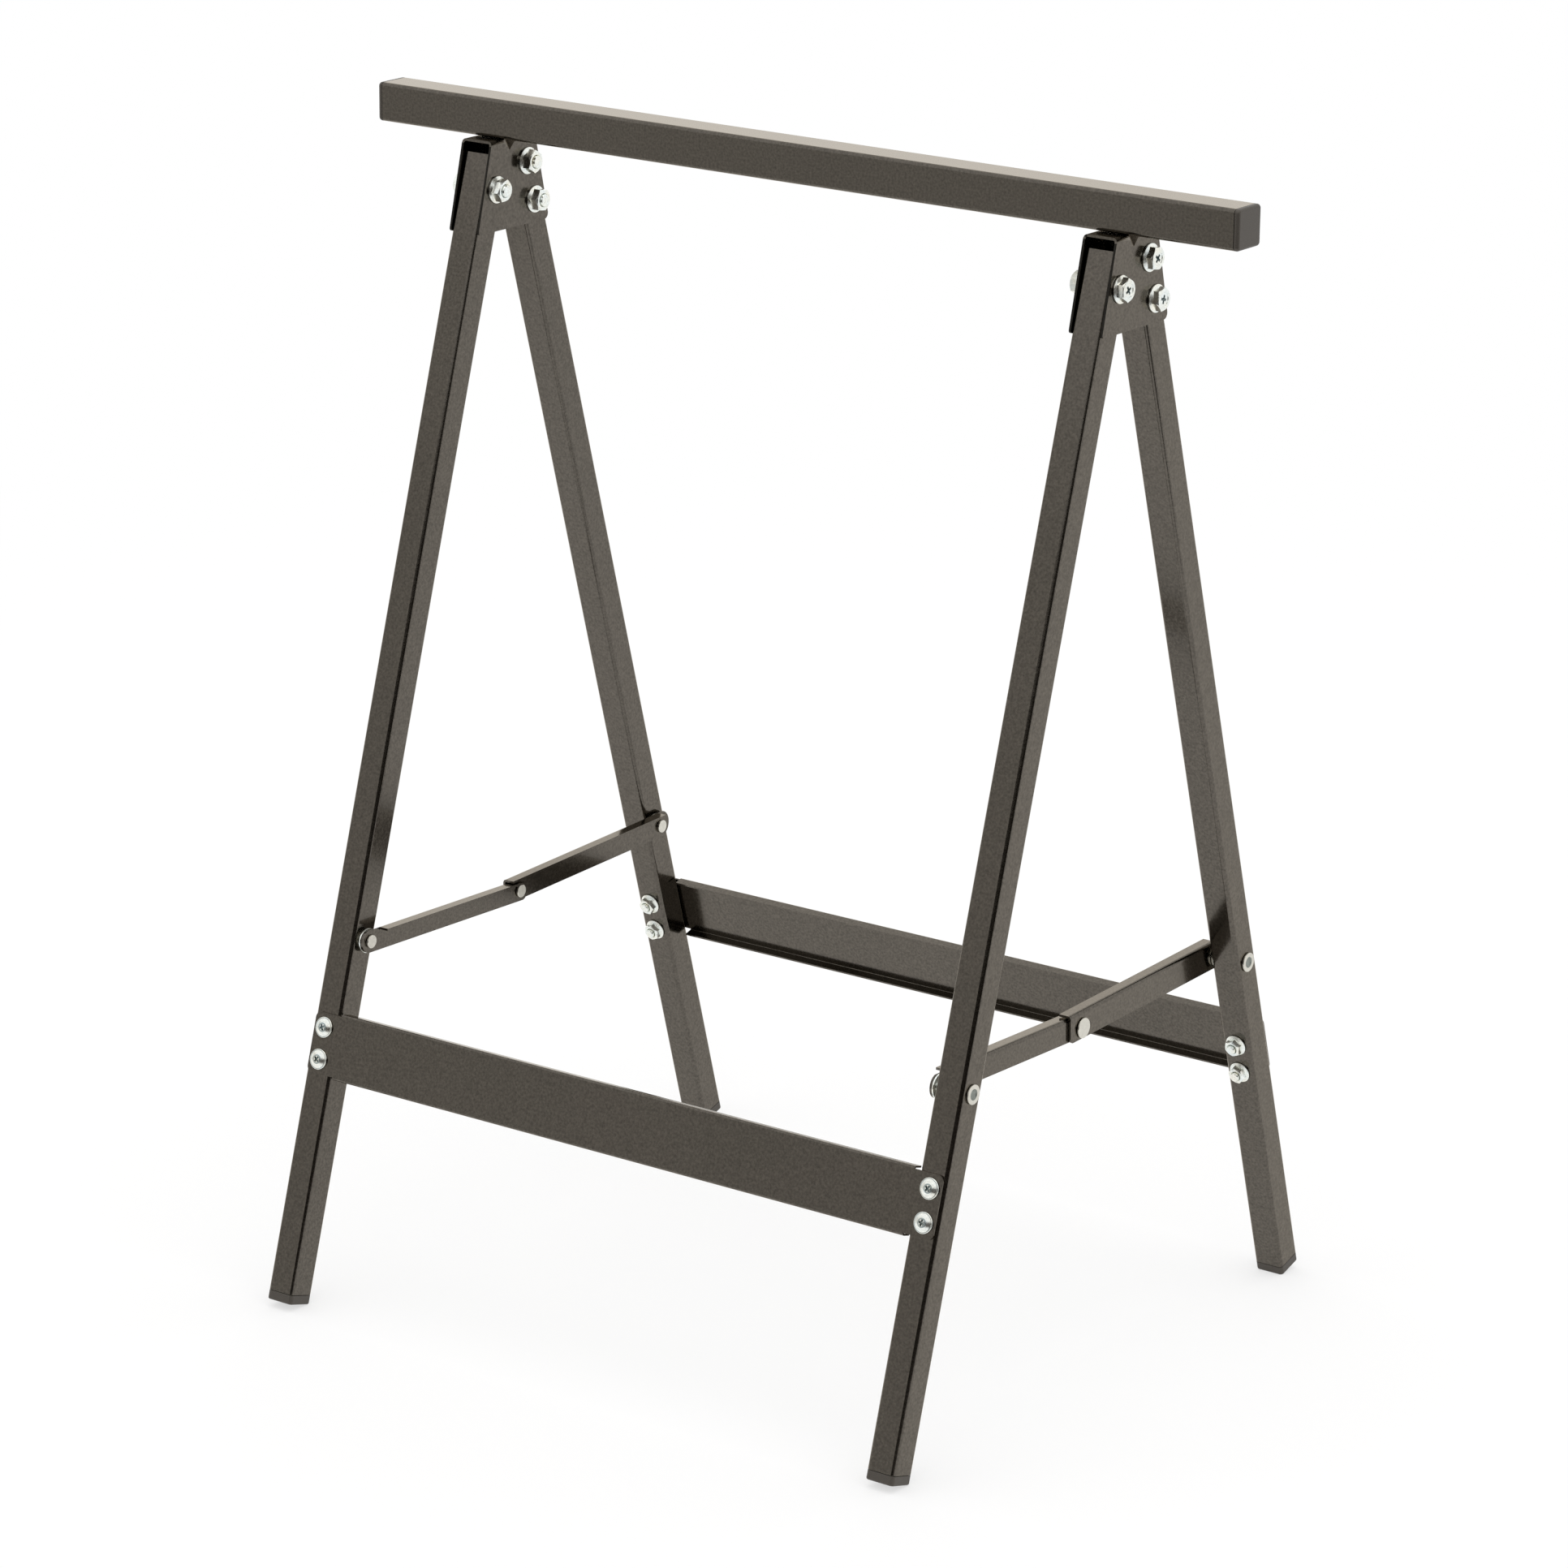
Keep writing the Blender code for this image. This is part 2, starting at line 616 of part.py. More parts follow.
def press_darts(shop, name, sheet, half):
    """Presses a V dart into the top bend of each cheek: a bump inside, then a dent of its shape outside."""
    kinds = {
        "bump": (BRACKET_SHEET, WEB_TOP - BRACKET_SHEET / 2, "UNION"),
        "dent": (0, WEB_TOP + CUT_SPARE, "DIFFERENCE"),
    }
    for side, way in SIDES.items():
        for kind, (inset, top, operation) in kinds.items():
            height = top - (WEB_TOP - DART_LENGTH)
            shape = bmesh.new()
            bmesh.ops.create_cone(shape, cap_ends=True, segments=4, radius1=0, radius2=1, depth=1)
            grow = Matrix.Diagonal((DART_DEPTH, DART_WIDTH / 2, height, 1))
            place = Matrix.Translation((way * (half - inset), -DART_FORWARD, top - height / 2))
            bmesh.ops.transform(shape, matrix=place @ grow, verts=shape.verts)
            shop.combine(sheet, shop.from_bmesh(f"{name}_{side}_{kind}", shape), operation)


def link_mesh(shop, name, corners, flange_from, flange_to, holes, top):
    """An L-section link in its own axes, drawn for the right-hand side.

    Its outer face is at x = 0, it runs along Y, its flange is at the height top and points to -X.
    """
    reach = max(abs(y) for y, _, _ in corners) * 2 + BLANK_SPARE
    low = min(z for _, z, _ in corners) - CUT_SPARE
    bar = shop.box(name, (LINK_FLANGE, 2 * reach, top - low), (-LINK_FLANGE / 2, 0, (top + low) / 2),
                   open_faces=((0, 1, 0), (0, -1, 0), (-1, 0, 0), (0, 0, -1)))
    shop.bevel(bar, LINK_BEND)
    shop.thicken(bar, LINK_SHEET)
    raised = [(y, z + CUT_OVER if z == top else z, radius) for y, z, radius in corners]
    blank = shop.outline(name + "_outline", rounded_outline(raised, 6), 6 * LINK_FLANGE)
    shop.move(blank, Matrix.Rotation(math.pi / 2, 4, "Z") @ Matrix.Rotation(math.pi / 2, 4, "X"))
    shop.combine(bar, blank, "INTERSECT")
    for end, edge, way in (("start", flange_from, -1), ("end", flange_to, 1)):
        size = (2 * LINK_FLANGE, reach, 4 * LINK_FLANGE)
        centre = (-LINK_SHEET - LINK_FLANGE, edge + way * reach / 2, top)
        shop.combine(bar, shop.box(f"{name}_{end}_trim", size, centre))
    for number, (y, z) in enumerate(holes):
        drill(shop, bar, f"{name}_hole_{number}", RIVET_RADIUS, (0, y, z), "X", 4 * LINK_FLANGE)
    return shop.pattern(name, bar)


class Brace:
    """Where a brace's three rivets are, in the trestle's Y and Z, and how its two links lie."""

    def __init__(self):
        out = PIVOT_OUT - BRACE_LEVEL * math.sin(LEG_TILT)
        height = PIVOT_HEIGHT + BRACE_LEVEL * math.cos(LEG_TILT)
        self.front = Vector((-out, height))
        self.rear = Vector((out, height))
        self.middle = Vector((-BRACE_MIDDLE_FORWARD, height - BRACE_SAG))
        self.rear_length = (self.middle - self.rear).length
        self.front_length = (self.middle - self.front).length
        self.rear_slope = link_slope(self.rear_length, REAR_LINK_HOLE_DROP)
        self.front_drop = self.front_hole_drop()
        self.front_slope = link_slope(self.front_length, self.front_drop)

    def front_hole_drop(self):
        """How far the front link's middle hole is below its middle line, so that the links meet."""
        rear_top = REAR_LINK_HEIGHT / 2 + REAR_LINK_HOLE_LOW + REAR_LINK_HOLE_DROP
        front_slope = BRACE_SAG / self.front_length
        fall = REAR_LINK_OVERRUN * (math.sin(self.rear_slope) + front_slope)
        return rear_top - LINK_SHEET - 2 * SEAT_GAP - fall - FRONT_LINK_HEIGHT / 2


def link_slope(length, drop):
    """How steeply a link lies between its rivets, with its holes out of line by a drop."""
    return math.asin(BRACE_SAG / length) - math.asin(drop / length)


def rear_link(shop, brace):
    """The rear link, from its rear rivet at the origin forwards (-Y) past the middle rivet."""
    half = REAR_LINK_HEIGHT / 2
    top = half + REAR_LINK_HOLE_LOW
    low = REAR_LINK_HOLE_LOW - half
    along = math.sqrt(brace.rear_length ** 2 - REAR_LINK_HOLE_DROP ** 2)
    end = -(along + REAR_LINK_OVERRUN)
    fillet = half * END_ROUND_SHARE
    corners = [(end, top, 0), (end, low, REAR_LINK_ROUND), (half, low, fillet), (half, top, fillet)]
    holes = [(0, 0), (-along, -REAR_LINK_HOLE_DROP)]
    return link_mesh(shop, "rear_link", corners, end - CUT_SPARE, RIVET_HEAD_RADIUS, holes, top)


def front_link(shop, brace):
    """The front link, from its middle rivet at the origin forwards (-Y) to its front rivet."""
    half = FRONT_LINK_HEIGHT / 2
    drop = brace.front_drop
    along = math.sqrt(brace.front_length ** 2 - drop ** 2)
    top = half + drop
    low = drop - half
    end = -(along + half)
    fillet = half * END_ROUND_SHARE
    tail = FRONT_TAIL_ROUND
    corners = [(end, top, fillet), (end, low, fillet), (tail, low, FRONT_TAIL_LOW_ROUND),
               (tail, top, tail * END_ROUND_SHARE)]
    holes = [(0, 0), (-along, drop)]
    return link_mesh(shop, "front_link", corners, FRONT_FLANGE_START - along, -FRONT_FLANGE_END, holes, top)


def add_beam(shop, root):
    """The beam tube and its two end caps."""
    height = TOTAL_HEIGHT - BEAM_SIZE / 2
    tube = square_tube(shop, "beam", BEAM_SIZE, BEAM_WALL, BEAM_LENGTH, BEAM_CORNER, "X")
    shop.place("beam", shop.pattern("beam", tube), "dark_paint", root, (0, 0, height))
    plate = plugged_cap(shop, "beam_cap", BEAM_SIZE, BEAM_CAP_THICKNESS, BEAM_CAP_PLUG, BEAM_WALL,
                        BEAM_CORNER, FOOT_EDGE)
    cap = shop.pattern("beam_cap", plate)
    for side, way in SIDES.items():
        turn = Matrix.Rotation(-way * math.pi / 2, 4, "Y")
        shop.place(f"beam_cap_{side}", cap, "cap_plastic", root, (way * BEAM_LENGTH / 2, 0, height), turn)


def add_brackets(shop, root):
    """The two brackets with their pivot bolts and their fixed bolts."""
    bracket = bracket_mesh(shop, "bracket")
    grip = LEG_SIZE + 2 * SEAT_GAP + 2 * BRACKET_SHEET
    bolt = flange_bolt(shop, "bracket_bolt", grip)
    nut = flange_nut(shop, "bracket_nut", BOLT_ACROSS_FLATS, BOLT_FLANGE_RADIUS, BOLT_FLANGE_THICKNESS,
                     BOLT_NUT_HEIGHT, BOLT_RADIUS)
    seat = grip / 2 + SEAT_GAP
    for side, way in SIDES.items():
        shop.place(f"bracket_{side}", bracket, "dark_paint", root, (way * LEG_X, 0, 0))
        outwards = Matrix.Rotation(way * math.pi / 2, 4, "Y")
        inwards = Matrix.Rotation(-way * math.pi / 2, 4, "Y")
        for kind, (y, z) in bolt_places().items():
            shop.place(f"{kind}_bolt_{side}", bolt, "zinc", root, (way * (LEG_X + seat), y, z), outwards)
            shop.place(f"{kind}_nut_{side}", nut, "zinc", root, (way * (LEG_X - seat), y, z), inwards)


def add_leg_frame(shop, kind, frame, leg, foot, rail, screw, nut):
    """One pair of legs with their feet, rail and rail screws, in the frame's own axes."""
    shop.place(f"{kind}_rail", rail, "dark_paint", frame)
    web_seat = LEG_SIZE / 2 + SEAT_GAP + RAIL_SHEET + SEAT_GAP
    nut_seat = -LEG_SIZE / 2 - SEAT_GAP
    outwards = Matrix.Rotation(-math.pi / 2, 4, "X")
    inwards = Matrix.Rotation(math.pi / 2, 4, "X")
    for side, way in SIDES.items():
        x = way * LEG_X * (-1 if kind == "front" else 1)
        foot_end = -LEG_BELOW_PIVOT + FOOT_THICKNESS + SEAT_GAP
        shop.place(f"{kind}_leg_{side}", leg, "dark_paint", frame, (x, 0, 0))
        shop.place(f"{kind}_foot_{side}", foot, "cap_plastic", frame, (x, 0, foot_end))
        for row, level in zip(("upper", "lower"), screw_levels()):
            shop.place(f"{kind}_screw_{row}_{side}", screw, "zinc", frame, (x, web_seat, level), outwards)
            shop.place(f"{kind}_rail_nut_{row}_{side}", nut, "zinc", frame, (x, nut_seat, level), inwards)


def add_leg_frames(shop, rear_frame, front_frame):
    """Both leg frames, which share their feet, rails, screws and nuts."""
    pad = plugged_cap(shop, "foot", LEG_SIZE, FOOT_THICKNESS, FOOT_PLUG, LEG_WALL, LEG_CORNER, FOOT_EDGE)
    foot = shop.pattern("foot", pad)
    rail = rail_mesh(shop, "rail")
    screw = pan_screw(shop, "rail_screw", LEG_SIZE + SEAT_GAP + RAIL_SHEET)
    nut = flange_nut(shop, "rail_nut", SCREW_NUT_ACROSS_FLATS, SCREW_NUT_FLANGE_RADIUS,
                     SCREW_NUT_FLANGE_THICKNESS, SCREW_NUT_HEIGHT, SCREW_RADIUS)
    rear = leg_mesh(shop, "rear_leg", REAR_LEG_ABOVE_PIVOT, (REAR_BOLT_UP, -REAR_BOLT_DOWN))
    front = leg_mesh(shop, "front_leg", FRONT_LEG_ABOVE_PIVOT, (0,))
    add_leg_frame(shop, "rear", rear_frame, rear, foot, rail, screw, nut)
    add_leg_frame(shop, "front", front_frame, front, foot, rail, screw, nut)


def brace_fasteners(shop):
    """The rivets, washer and spacer that both braces share, by the names of their nodes."""
    rear_grip = LEGS_WIDTH / 2 - REAR_LINK_X + LINK_SHEET + 2 * SEAT_GAP
    middle_grip = 2 * LINK_SHEET + 3 * SEAT_GAP
    pin_end = FRONT_LINK_X - LEGS_WIDTH / 2
    stub_top = LINK_SHEET + SEAT_GAP
    cap = [
        (0, MIDDLE_RIVET_THICKNESS),
        (MIDDLE_RIVET_RADIUS - RIVET_EDGE, MIDDLE_RIVET_THICKNESS),
        (MIDDLE_RIVET_RADIUS, MIDDLE_RIVET_THICKNESS - RIVET_EDGE),
        (MIDDLE_RIVET_RADIUS, 0),
        (RIVET_RADIUS, 0),
    ]
    profiles = {
        "rear_rivet": rivet_tail() + rivet_head(-rear_grip),
        "middle_rivet": cap + rivet_head(-middle_grip),
        "front_rivet": rivet_tail() + [(RIVET_RADIUS, pin_end), (0, pin_end)],
        "front_rivet_head": [(0, stub_top), (RIVET_RADIUS, stub_top)] + rivet_head(0),
    }
    pieces = {name: shop.pattern(name, shop.turned(name, profile)) for name, profile in profiles.items()}
    pieces["rear_washer"] = ring(shop, "rear_washer", WASHER_RADIUS, RIVET_RADIUS, REAR_WASHER_THICKNESS)
    pieces["front_spacer"] = ring(shop, "front_spacer", WASHER_RADIUS, RIVET_RADIUS, SPACER_THICKNESS)
    return pieces


def add_links(shop, side, brace, links, pieces, root):
    """One brace's two links, with the rivets and the washer that ride on them."""
    way = SIDES[side]
    outwards = Matrix.Rotation(way * math.pi / 2, 4, "Y")
    rear_hinge = shop.frame(f"rear_link_hinge_{side}", Matrix.Translation((0, *brace.rear)), root)
    middle_hinge = shop.frame(f"front_link_hinge_{side}", Matrix.Translation((0, *brace.middle)), root)
    rear_lie = Matrix.Rotation(brace.rear_slope, 4, "X")
    front_lie = Matrix.Rotation(-brace.front_slope, 4, "X")
    rear_place = (way * REAR_LINK_X, 0, 0)
    front_place = (way * FRONT_LINK_X, 0, 0)
    shop.place(f"rear_link_{side}", links[0], "dark_paint", rear_hinge, rear_place, rear_lie)
    shop.place(f"front_link_{side}", links[1], "dark_paint", middle_hinge, front_place, front_lie)
    tail = (way * (LEGS_WIDTH / 2 + SEAT_GAP), 0, 0)
    seat = (way * (REAR_LINK_X + SEAT_GAP), 0, 0)
    head = (way * (FRONT_LINK_X - LINK_SHEET - SEAT_GAP), *(brace.front - brace.middle))
    places = {
        "rear_rivet": ("rivet_steel", rear_hinge, tail),
        "rear_washer": ("zinc", rear_hinge, seat),
        "middle_rivet": ("rivet_steel", middle_hinge, seat),
        "front_rivet_head": ("rivet_steel", middle_hinge, head),
    }
    for name, (finish, hinge, place) in places.items():
        shop.place(f"{name}_{side}", pieces[name], finish, hinge, place, outwards)


def add_front_pins(shop, pieces, front_frame):
    """The front rivets' shanks and their spacers, which the front legs carry, in the front frame's axes."""
    for side, way in SIDES.items():
        outwards = Matrix.Rotation(-way * math.pi / 2, 4, "Y")
        tail = (-way * (LEGS_WIDTH / 2 + SEAT_GAP), 0, BRACE_LEVEL)
        seat = (-way * (FRONT_LINK_X + SEAT_GAP), 0, BRACE_LEVEL)
        shop.place(f"front_rivet_{side}", pieces["front_rivet"], "rivet_steel", front_frame, tail, outwards)
        shop.place(f"front_spacer_{side}", pieces["front_spacer"], "zinc", front_frame, seat, outwards)


def add_braces(shop, root, front_frame):
    """The folding braces, whose left-hand links are the right-hand ones mirrored."""
    brace = Brace()
    right = (rear_link(shop, brace), front_link(shop, brace))
    left = [mirrored(mesh, f"{mesh.name}_left") for mesh in right]
    pieces = brace_fasteners(shop)
    add_links(shop, "right", brace, right, pieces, root)
    add_links(shop, "left", brace, left, pieces, root)
    add_front_pins(shop, pieces, front_frame)


def build_trestle():
    """Builds the whole trestle, open and standing on its feet."""
    shop = Workshop()
    root = shop.frame("trestle", Matrix())
    lean = Matrix.Rotation(LEG_TILT, 4, "X")
    rear_frame = shop.frame("rear_frame", Matrix.Translation((0, PIVOT_OUT, PIVOT_HEIGHT)) @ lean, root)
    half_turn = Matrix.Rotation(math.pi, 4, "Z")
    front_hinge = Matrix.Translation((0, -PIVOT_OUT, PIVOT_HEIGHT))
    front_frame = shop.frame("front_frame_hinge", front_hinge @ half_turn @ lean, root)
    add_beam(shop, root)
    add_brackets(shop, root)
    add_leg_frames(shop, rear_frame, front_frame)
    add_braces(shop, root, front_frame)


build_trestle()
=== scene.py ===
"""The looks of the folding work trestle: finer pieces, finishes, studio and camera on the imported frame.

X runs along the beam, the front legs are at -Y, and Z is up from the floor below the beam's middle.
"""

import logging
import math
from dataclasses import dataclass, field
from enum import Enum
from typing import Any, Callable, Iterable, Mapping, Sequence

import bmesh
import bpy
from mathutils import Matrix, Vector


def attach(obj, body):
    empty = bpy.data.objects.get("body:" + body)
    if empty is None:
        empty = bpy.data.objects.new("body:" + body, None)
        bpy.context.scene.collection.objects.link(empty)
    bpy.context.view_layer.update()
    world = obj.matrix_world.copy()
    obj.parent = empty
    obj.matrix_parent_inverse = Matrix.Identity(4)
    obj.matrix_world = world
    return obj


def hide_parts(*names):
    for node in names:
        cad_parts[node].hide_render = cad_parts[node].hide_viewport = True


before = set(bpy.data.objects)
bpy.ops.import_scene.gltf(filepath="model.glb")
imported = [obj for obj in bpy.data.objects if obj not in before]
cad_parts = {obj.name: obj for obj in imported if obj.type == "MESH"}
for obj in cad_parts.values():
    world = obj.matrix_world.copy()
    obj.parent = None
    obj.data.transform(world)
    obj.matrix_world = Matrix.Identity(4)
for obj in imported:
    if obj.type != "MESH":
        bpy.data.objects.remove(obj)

LOG = logging.getLogger("work_trestle")
MM = 0.001
# The gap between two pieces that touch on the real trestle.
GAP = 0.3 * MM
# Two places nearer than this are one.
TOUCH = 1e-6
# A face looks along an axis when its normal has more of it than this.
FACING = 0.9
# The share of a full round that leaves room for the round beside it.
NEARLY = 0.98

Point = Sequence[float]
Place = tuple[float, float, float]
Spin = tuple[float, float, float]
Colour = tuple[float, float, float]
Span = tuple[float, float]
Level = tuple[float, float]
FaceTest = Callable[[Vector, Vector], bool]
EdgeTest = Callable[[Vector, Vector], bool]


class Worded(Enum):
    """Options whose own names, in small letters, are words in the names of nodes."""

    @property
    def word(self) -> str:
        """The option's word in the names of nodes."""
        return self.name.lower()


class Side(Worded):
    """The two ends of the trestle, each with its direction along X."""

    LEFT = -1
    RIGHT = 1


class Frame(Worded):
    """The two leg frames, each with the body that its pieces ride on."""

    REAR = "rear_frame"
    FRONT = "front_frame"


class Slot(Enum):
    """The record's material slots."""

    PAINT = "dark_paint"
    ZINC = "zinc"
    RIVET = "rivet_steel"
    PLASTIC = "cap_plastic"


class Cut(Enum):
    """What one closed mesh does to another."""

    AWAY = "DIFFERENCE"
    TOGETHER = "UNION"
    SHARED = "INTERSECT"


class Part(Enum):
    """What is selected on a mesh, each with the mesh's list of them."""

    FACE = "faces"
    EDGE = "edges"
    VERT = "verts"


# Node maths


class Signal:
    """One output socket, on which Python's operators add the nodes that work on it."""

    def __init__(self, sheet: "NodeSheet", socket: bpy.types.NodeSocket) -> None:
        """Wraps a socket of a sheet's node tree.

        Args:
            sheet: The sheet whose tree holds the socket.
            socket: The output socket.
        """
        self.sheet = sheet
        self.socket = socket

    def _join(self, operation: str, first: Any, second: Any) -> "Signal":
        """Adds the node that suits what the operands carry.

        Args:
            operation: The operation's name in Blender.
            first: The left operand, a signal, a number or a colour.
            second: The right operand.

        Returns:
            The node's result.
        """
        kinds = {part.socket.type for part in (first, second) if isinstance(part, Signal)}
        if "RGBA" in kinds:
            settings = {"data_type": "RGBA", "blend_type": operation, "clamp_result": False}
            ends = {0: 1.0, 6: self._colour(first), 7: self._colour(second)}
            return self.sheet.add("ShaderNodeMix", settings, ends, output=2)
        if "VECTOR" in kinds:
            return self.sheet.add("ShaderNodeVectorMath", {"operation": operation}, {0: first, 1: second})
        return self.sheet.add("ShaderNodeMath", {"operation": operation}, {0: first, 1: second})

    @staticmethod
    def _colour(part: Any) -> Any:
        """A number as a grey, for a colour socket; anything else as it is."""
        return (part, part, part, 1.0) if isinstance(part, (int, float)) else part

    def __add__(self, other: Any) -> "Signal":
        """This and another."""
        return self._join("ADD", self, other)

    def __radd__(self, other: Any) -> "Signal":
        """Another and this."""
        return self._join("ADD", other, self)

    def __mul__(self, other: Any) -> "Signal":
        """This times another."""
        return self._join("MULTIPLY", self, other)

    def __rmul__(self, other: Any) -> "Signal":
        """Another times this."""
        return self._join("MULTIPLY", other, self)


class NodeSheet:
    """An empty node tree of a material or a world, filled one node at a time."""

    def __init__(self, owner: Any) -> None:
        """Empties an owner's tree.

        Args:
            owner: A material or a world.
        """
        owner.use_nodes = True
        self.tree = owner.node_tree
        self.tree.nodes.clear()

    def add(self, kind: str, settings: Mapping[str, Any] | None = None,
            sockets: Mapping[Any, Any] | None = None, output: Any = 0) -> Signal:
        """Makes any node.

        Args:
            kind: The node's type.
            settings: What is set on the node first; "stops" are a ramp's places and colours.
            sockets: The value, or the signal to link, of each input by name or number.
            output: The name or number of the output that is returned.

        Returns:
            The chosen output, or the first input of a node that has no output.
        """
        node = self.tree.nodes.new(kind)
        for name, value in (settings or {}).items():
            if name == "stops":
                self._set_stops(node.color_ramp, value)
            else:
                setattr(node, name, value)
        for name, value in (sockets or {}).items():
            if isinstance(value, Signal):
                self.tree.links.new(value.socket, node.inputs[name])
            else:
                node.inputs[name].default_value = value
        return Signal(self, node.outputs[output] if node.outputs else node.inputs[0])

    @staticmethod
    def _set_stops(ramp: bpy.types.ColorRamp, stops: Sequence[tuple[float, Point]]) -> None:
        """Gives a ramp its stops.

        Args:
            ramp: The ramp of a node.
            stops: Each stop's place and colour.
        """
        while len(ramp.elements) < len(stops):
            ramp.elements.new(1.0)
        for element, (place, colour) in zip(ramp.elements, stops):
            element.position = place
            element.color = (*colour, 1.0)

    def noise(self, where: Signal, scale: float, detail: float = 2.0) -> Signal:
        """A noise value about a half.

        Args:
            where: The coordinates.
            scale: How many waves there are in a metre.
            detail: How many finer layers lie on it.

        Returns:
            The noise.
        """
        return self.add("ShaderNodeTexNoise", None, {"Vector": where, "Scale": scale, "Detail": detail})

    def between(self, amount: Signal, span: Span, source: Span = (0.0, 1.0)) -> Signal:
        """Spreads a value from its own range over another, and stops at the ends.

        Args:
            amount: The value.
            span: The results at the ends of its own range.
            source: Its own range.

        Returns:
            The value in its new range.
        """
        ends = dict(zip(("From Min", "From Max", "To Min", "To Max"), (*source, *span)))
        return self.add("ShaderNodeMapRange", {"clamp": True}, {"Value": amount, **ends})


def new_material(name: str, surface: Callable[[NodeSheet], Signal]) -> bpy.types.Material:
    """Makes a material.

    Args:
        name: The material's name.
        surface: The function that adds its nodes and returns its shader.

    Returns:
        The material.
    """
    material = bpy.data.materials.new(name)
    sheet = NodeSheet(material)
    sheet.add("ShaderNodeOutputMaterial", None, {"Surface": surface(sheet)})
    return material


def own_place(sheet: NodeSheet) -> Signal:
    """The piece's own coordinates, in metres."""
    return sheet.add("ShaderNodeTexCoord", output="Object")


def bump(sheet: NodeSheet, height: Signal, depth: float, under: Signal | None = None) -> Signal:
    """A fine relief on the surface.

    Args:
        sheet: The sheet of nodes.
        height: The relief from 0 to 1.
        depth: Its depth in metres.
        under: A relief that lies under it.

    Returns:
        The normal.
    """
    sockets: dict[str, Any] = {"Height": height, "Distance": depth, "Strength": 1.0}
    if under is not None:
        sockets["Normal"] = under
    return sheet.add("ShaderNodeBump", None, sockets)


# Finishes


@dataclass(frozen=True)
class Finish:
    """What every finish of the trestle has: a colour, a gloss and the record's slot."""

    name: str
    slot: Slot
    colour: Colour
    roughness: float
    metallic: float

    def material(self) -> bpy.types.Material:
        """The finish's material, which is made once."""
        return bpy.data.materials.get(self.name) or new_material(self.name, self.surface)

    def surface(self, sheet: NodeSheet) -> Signal:
        """Makes the finish's shader, each kind of finish in its own way.

        Args:
            sheet: The sheet of nodes.

        Returns:
            The shader.
        """
        raise NotImplementedError

    def tinted(self, sheet: NodeSheet, shade: Signal) -> Signal:
        """The finish's colour times a shade.

        Args:
            sheet: The sheet of nodes.
            shade: A value about 1.

        Returns:
            The colour.
        """
        return sheet.add("ShaderNodeVectorMath", {"operation": "SCALE"}, {0: self.colour, "Scale": shade})

    def gloss(self, sheet: NodeSheet, amount: Signal, shift: Span) -> Signal:
        """The finish's roughness, which changes over the surface.

        Args:
            sheet: The sheet of nodes.
            amount: A value from 0 to 1.
            shift: How much is added to the roughness at 0 and at 1.

        Returns:
            The roughness.
        """
        return sheet.between(amount, (self.roughness + shift[0], self.roughness + shift[1]))

    def shader(self, sheet: NodeSheet, colour: Signal, gloss: Signal, relief: Signal,
               more: Mapping[str, Any] | None = None) -> Signal:
        """Adds the shader that the finish's layers feed.

        Args:
            sheet: The sheet of nodes.
            colour: The colour.
            gloss: The roughness.
            relief: The normal.
            more: The values of other sockets.

        Returns:
            The shader.
        """
        layers = {"Base Color": colour, "Metallic": self.metallic, "Roughness": gloss, "Normal": relief}
        return sheet.add("ShaderNodeBsdfPrincipled", None, {**layers, **(more or {})})


@dataclass(frozen=True)
class MetallicPaint(Finish):
    """Glossy dark paint with metal flakes, an orange-peel skin and a clear top."""

    flake_scale: float = 640.0
    flake_depth: float = 3.0e-6
    flake_shade: Span = (0.35, 1.65)
    flake_gloss: Span = (-0.04, 0.06)
    cloud_scale: float = 9.0
    cloud_shade: Span = (0.92, 1.08)
    cloud_gloss: Span = (-0.05, 0.05)
    peel_scale: float = 240.0
    peel_depth: float = 0.9e-5
    coat: float = 0.25
    coat_roughness: float = 0.06
    edge_tint: Colour = (1.0, 0.94, 0.85)

    def surface(self, sheet: NodeSheet) -> Signal:
        """Flakes vary the colour and the gloss, and wide clouds show how thick the paint lies.

        Args:
            sheet: The sheet of nodes.

        Returns:
            The shader.
        """
        where = own_place(sheet)
        flake = sheet.noise(where, self.flake_scale, 3.0)
        cloud = sheet.noise(where, self.cloud_scale, 3.0)
        peel = sheet.noise(where, self.peel_scale, 1.0)
        shade = sheet.between(flake, self.flake_shade) * sheet.between(cloud, self.cloud_shade)
        gloss = self.gloss(sheet, cloud, self.cloud_gloss) + sheet.between(flake, self.flake_gloss)
        relief = bump(sheet, flake, self.flake_depth, bump(sheet, peel, self.peel_depth))
        return self.shader(sheet, self.tinted(sheet, shade), gloss, relief, {
            "Specular Tint": (*self.edge_tint, 1),
            "Coat Weight": self.coat,
            "Coat Roughness": self.coat_roughness,
        })


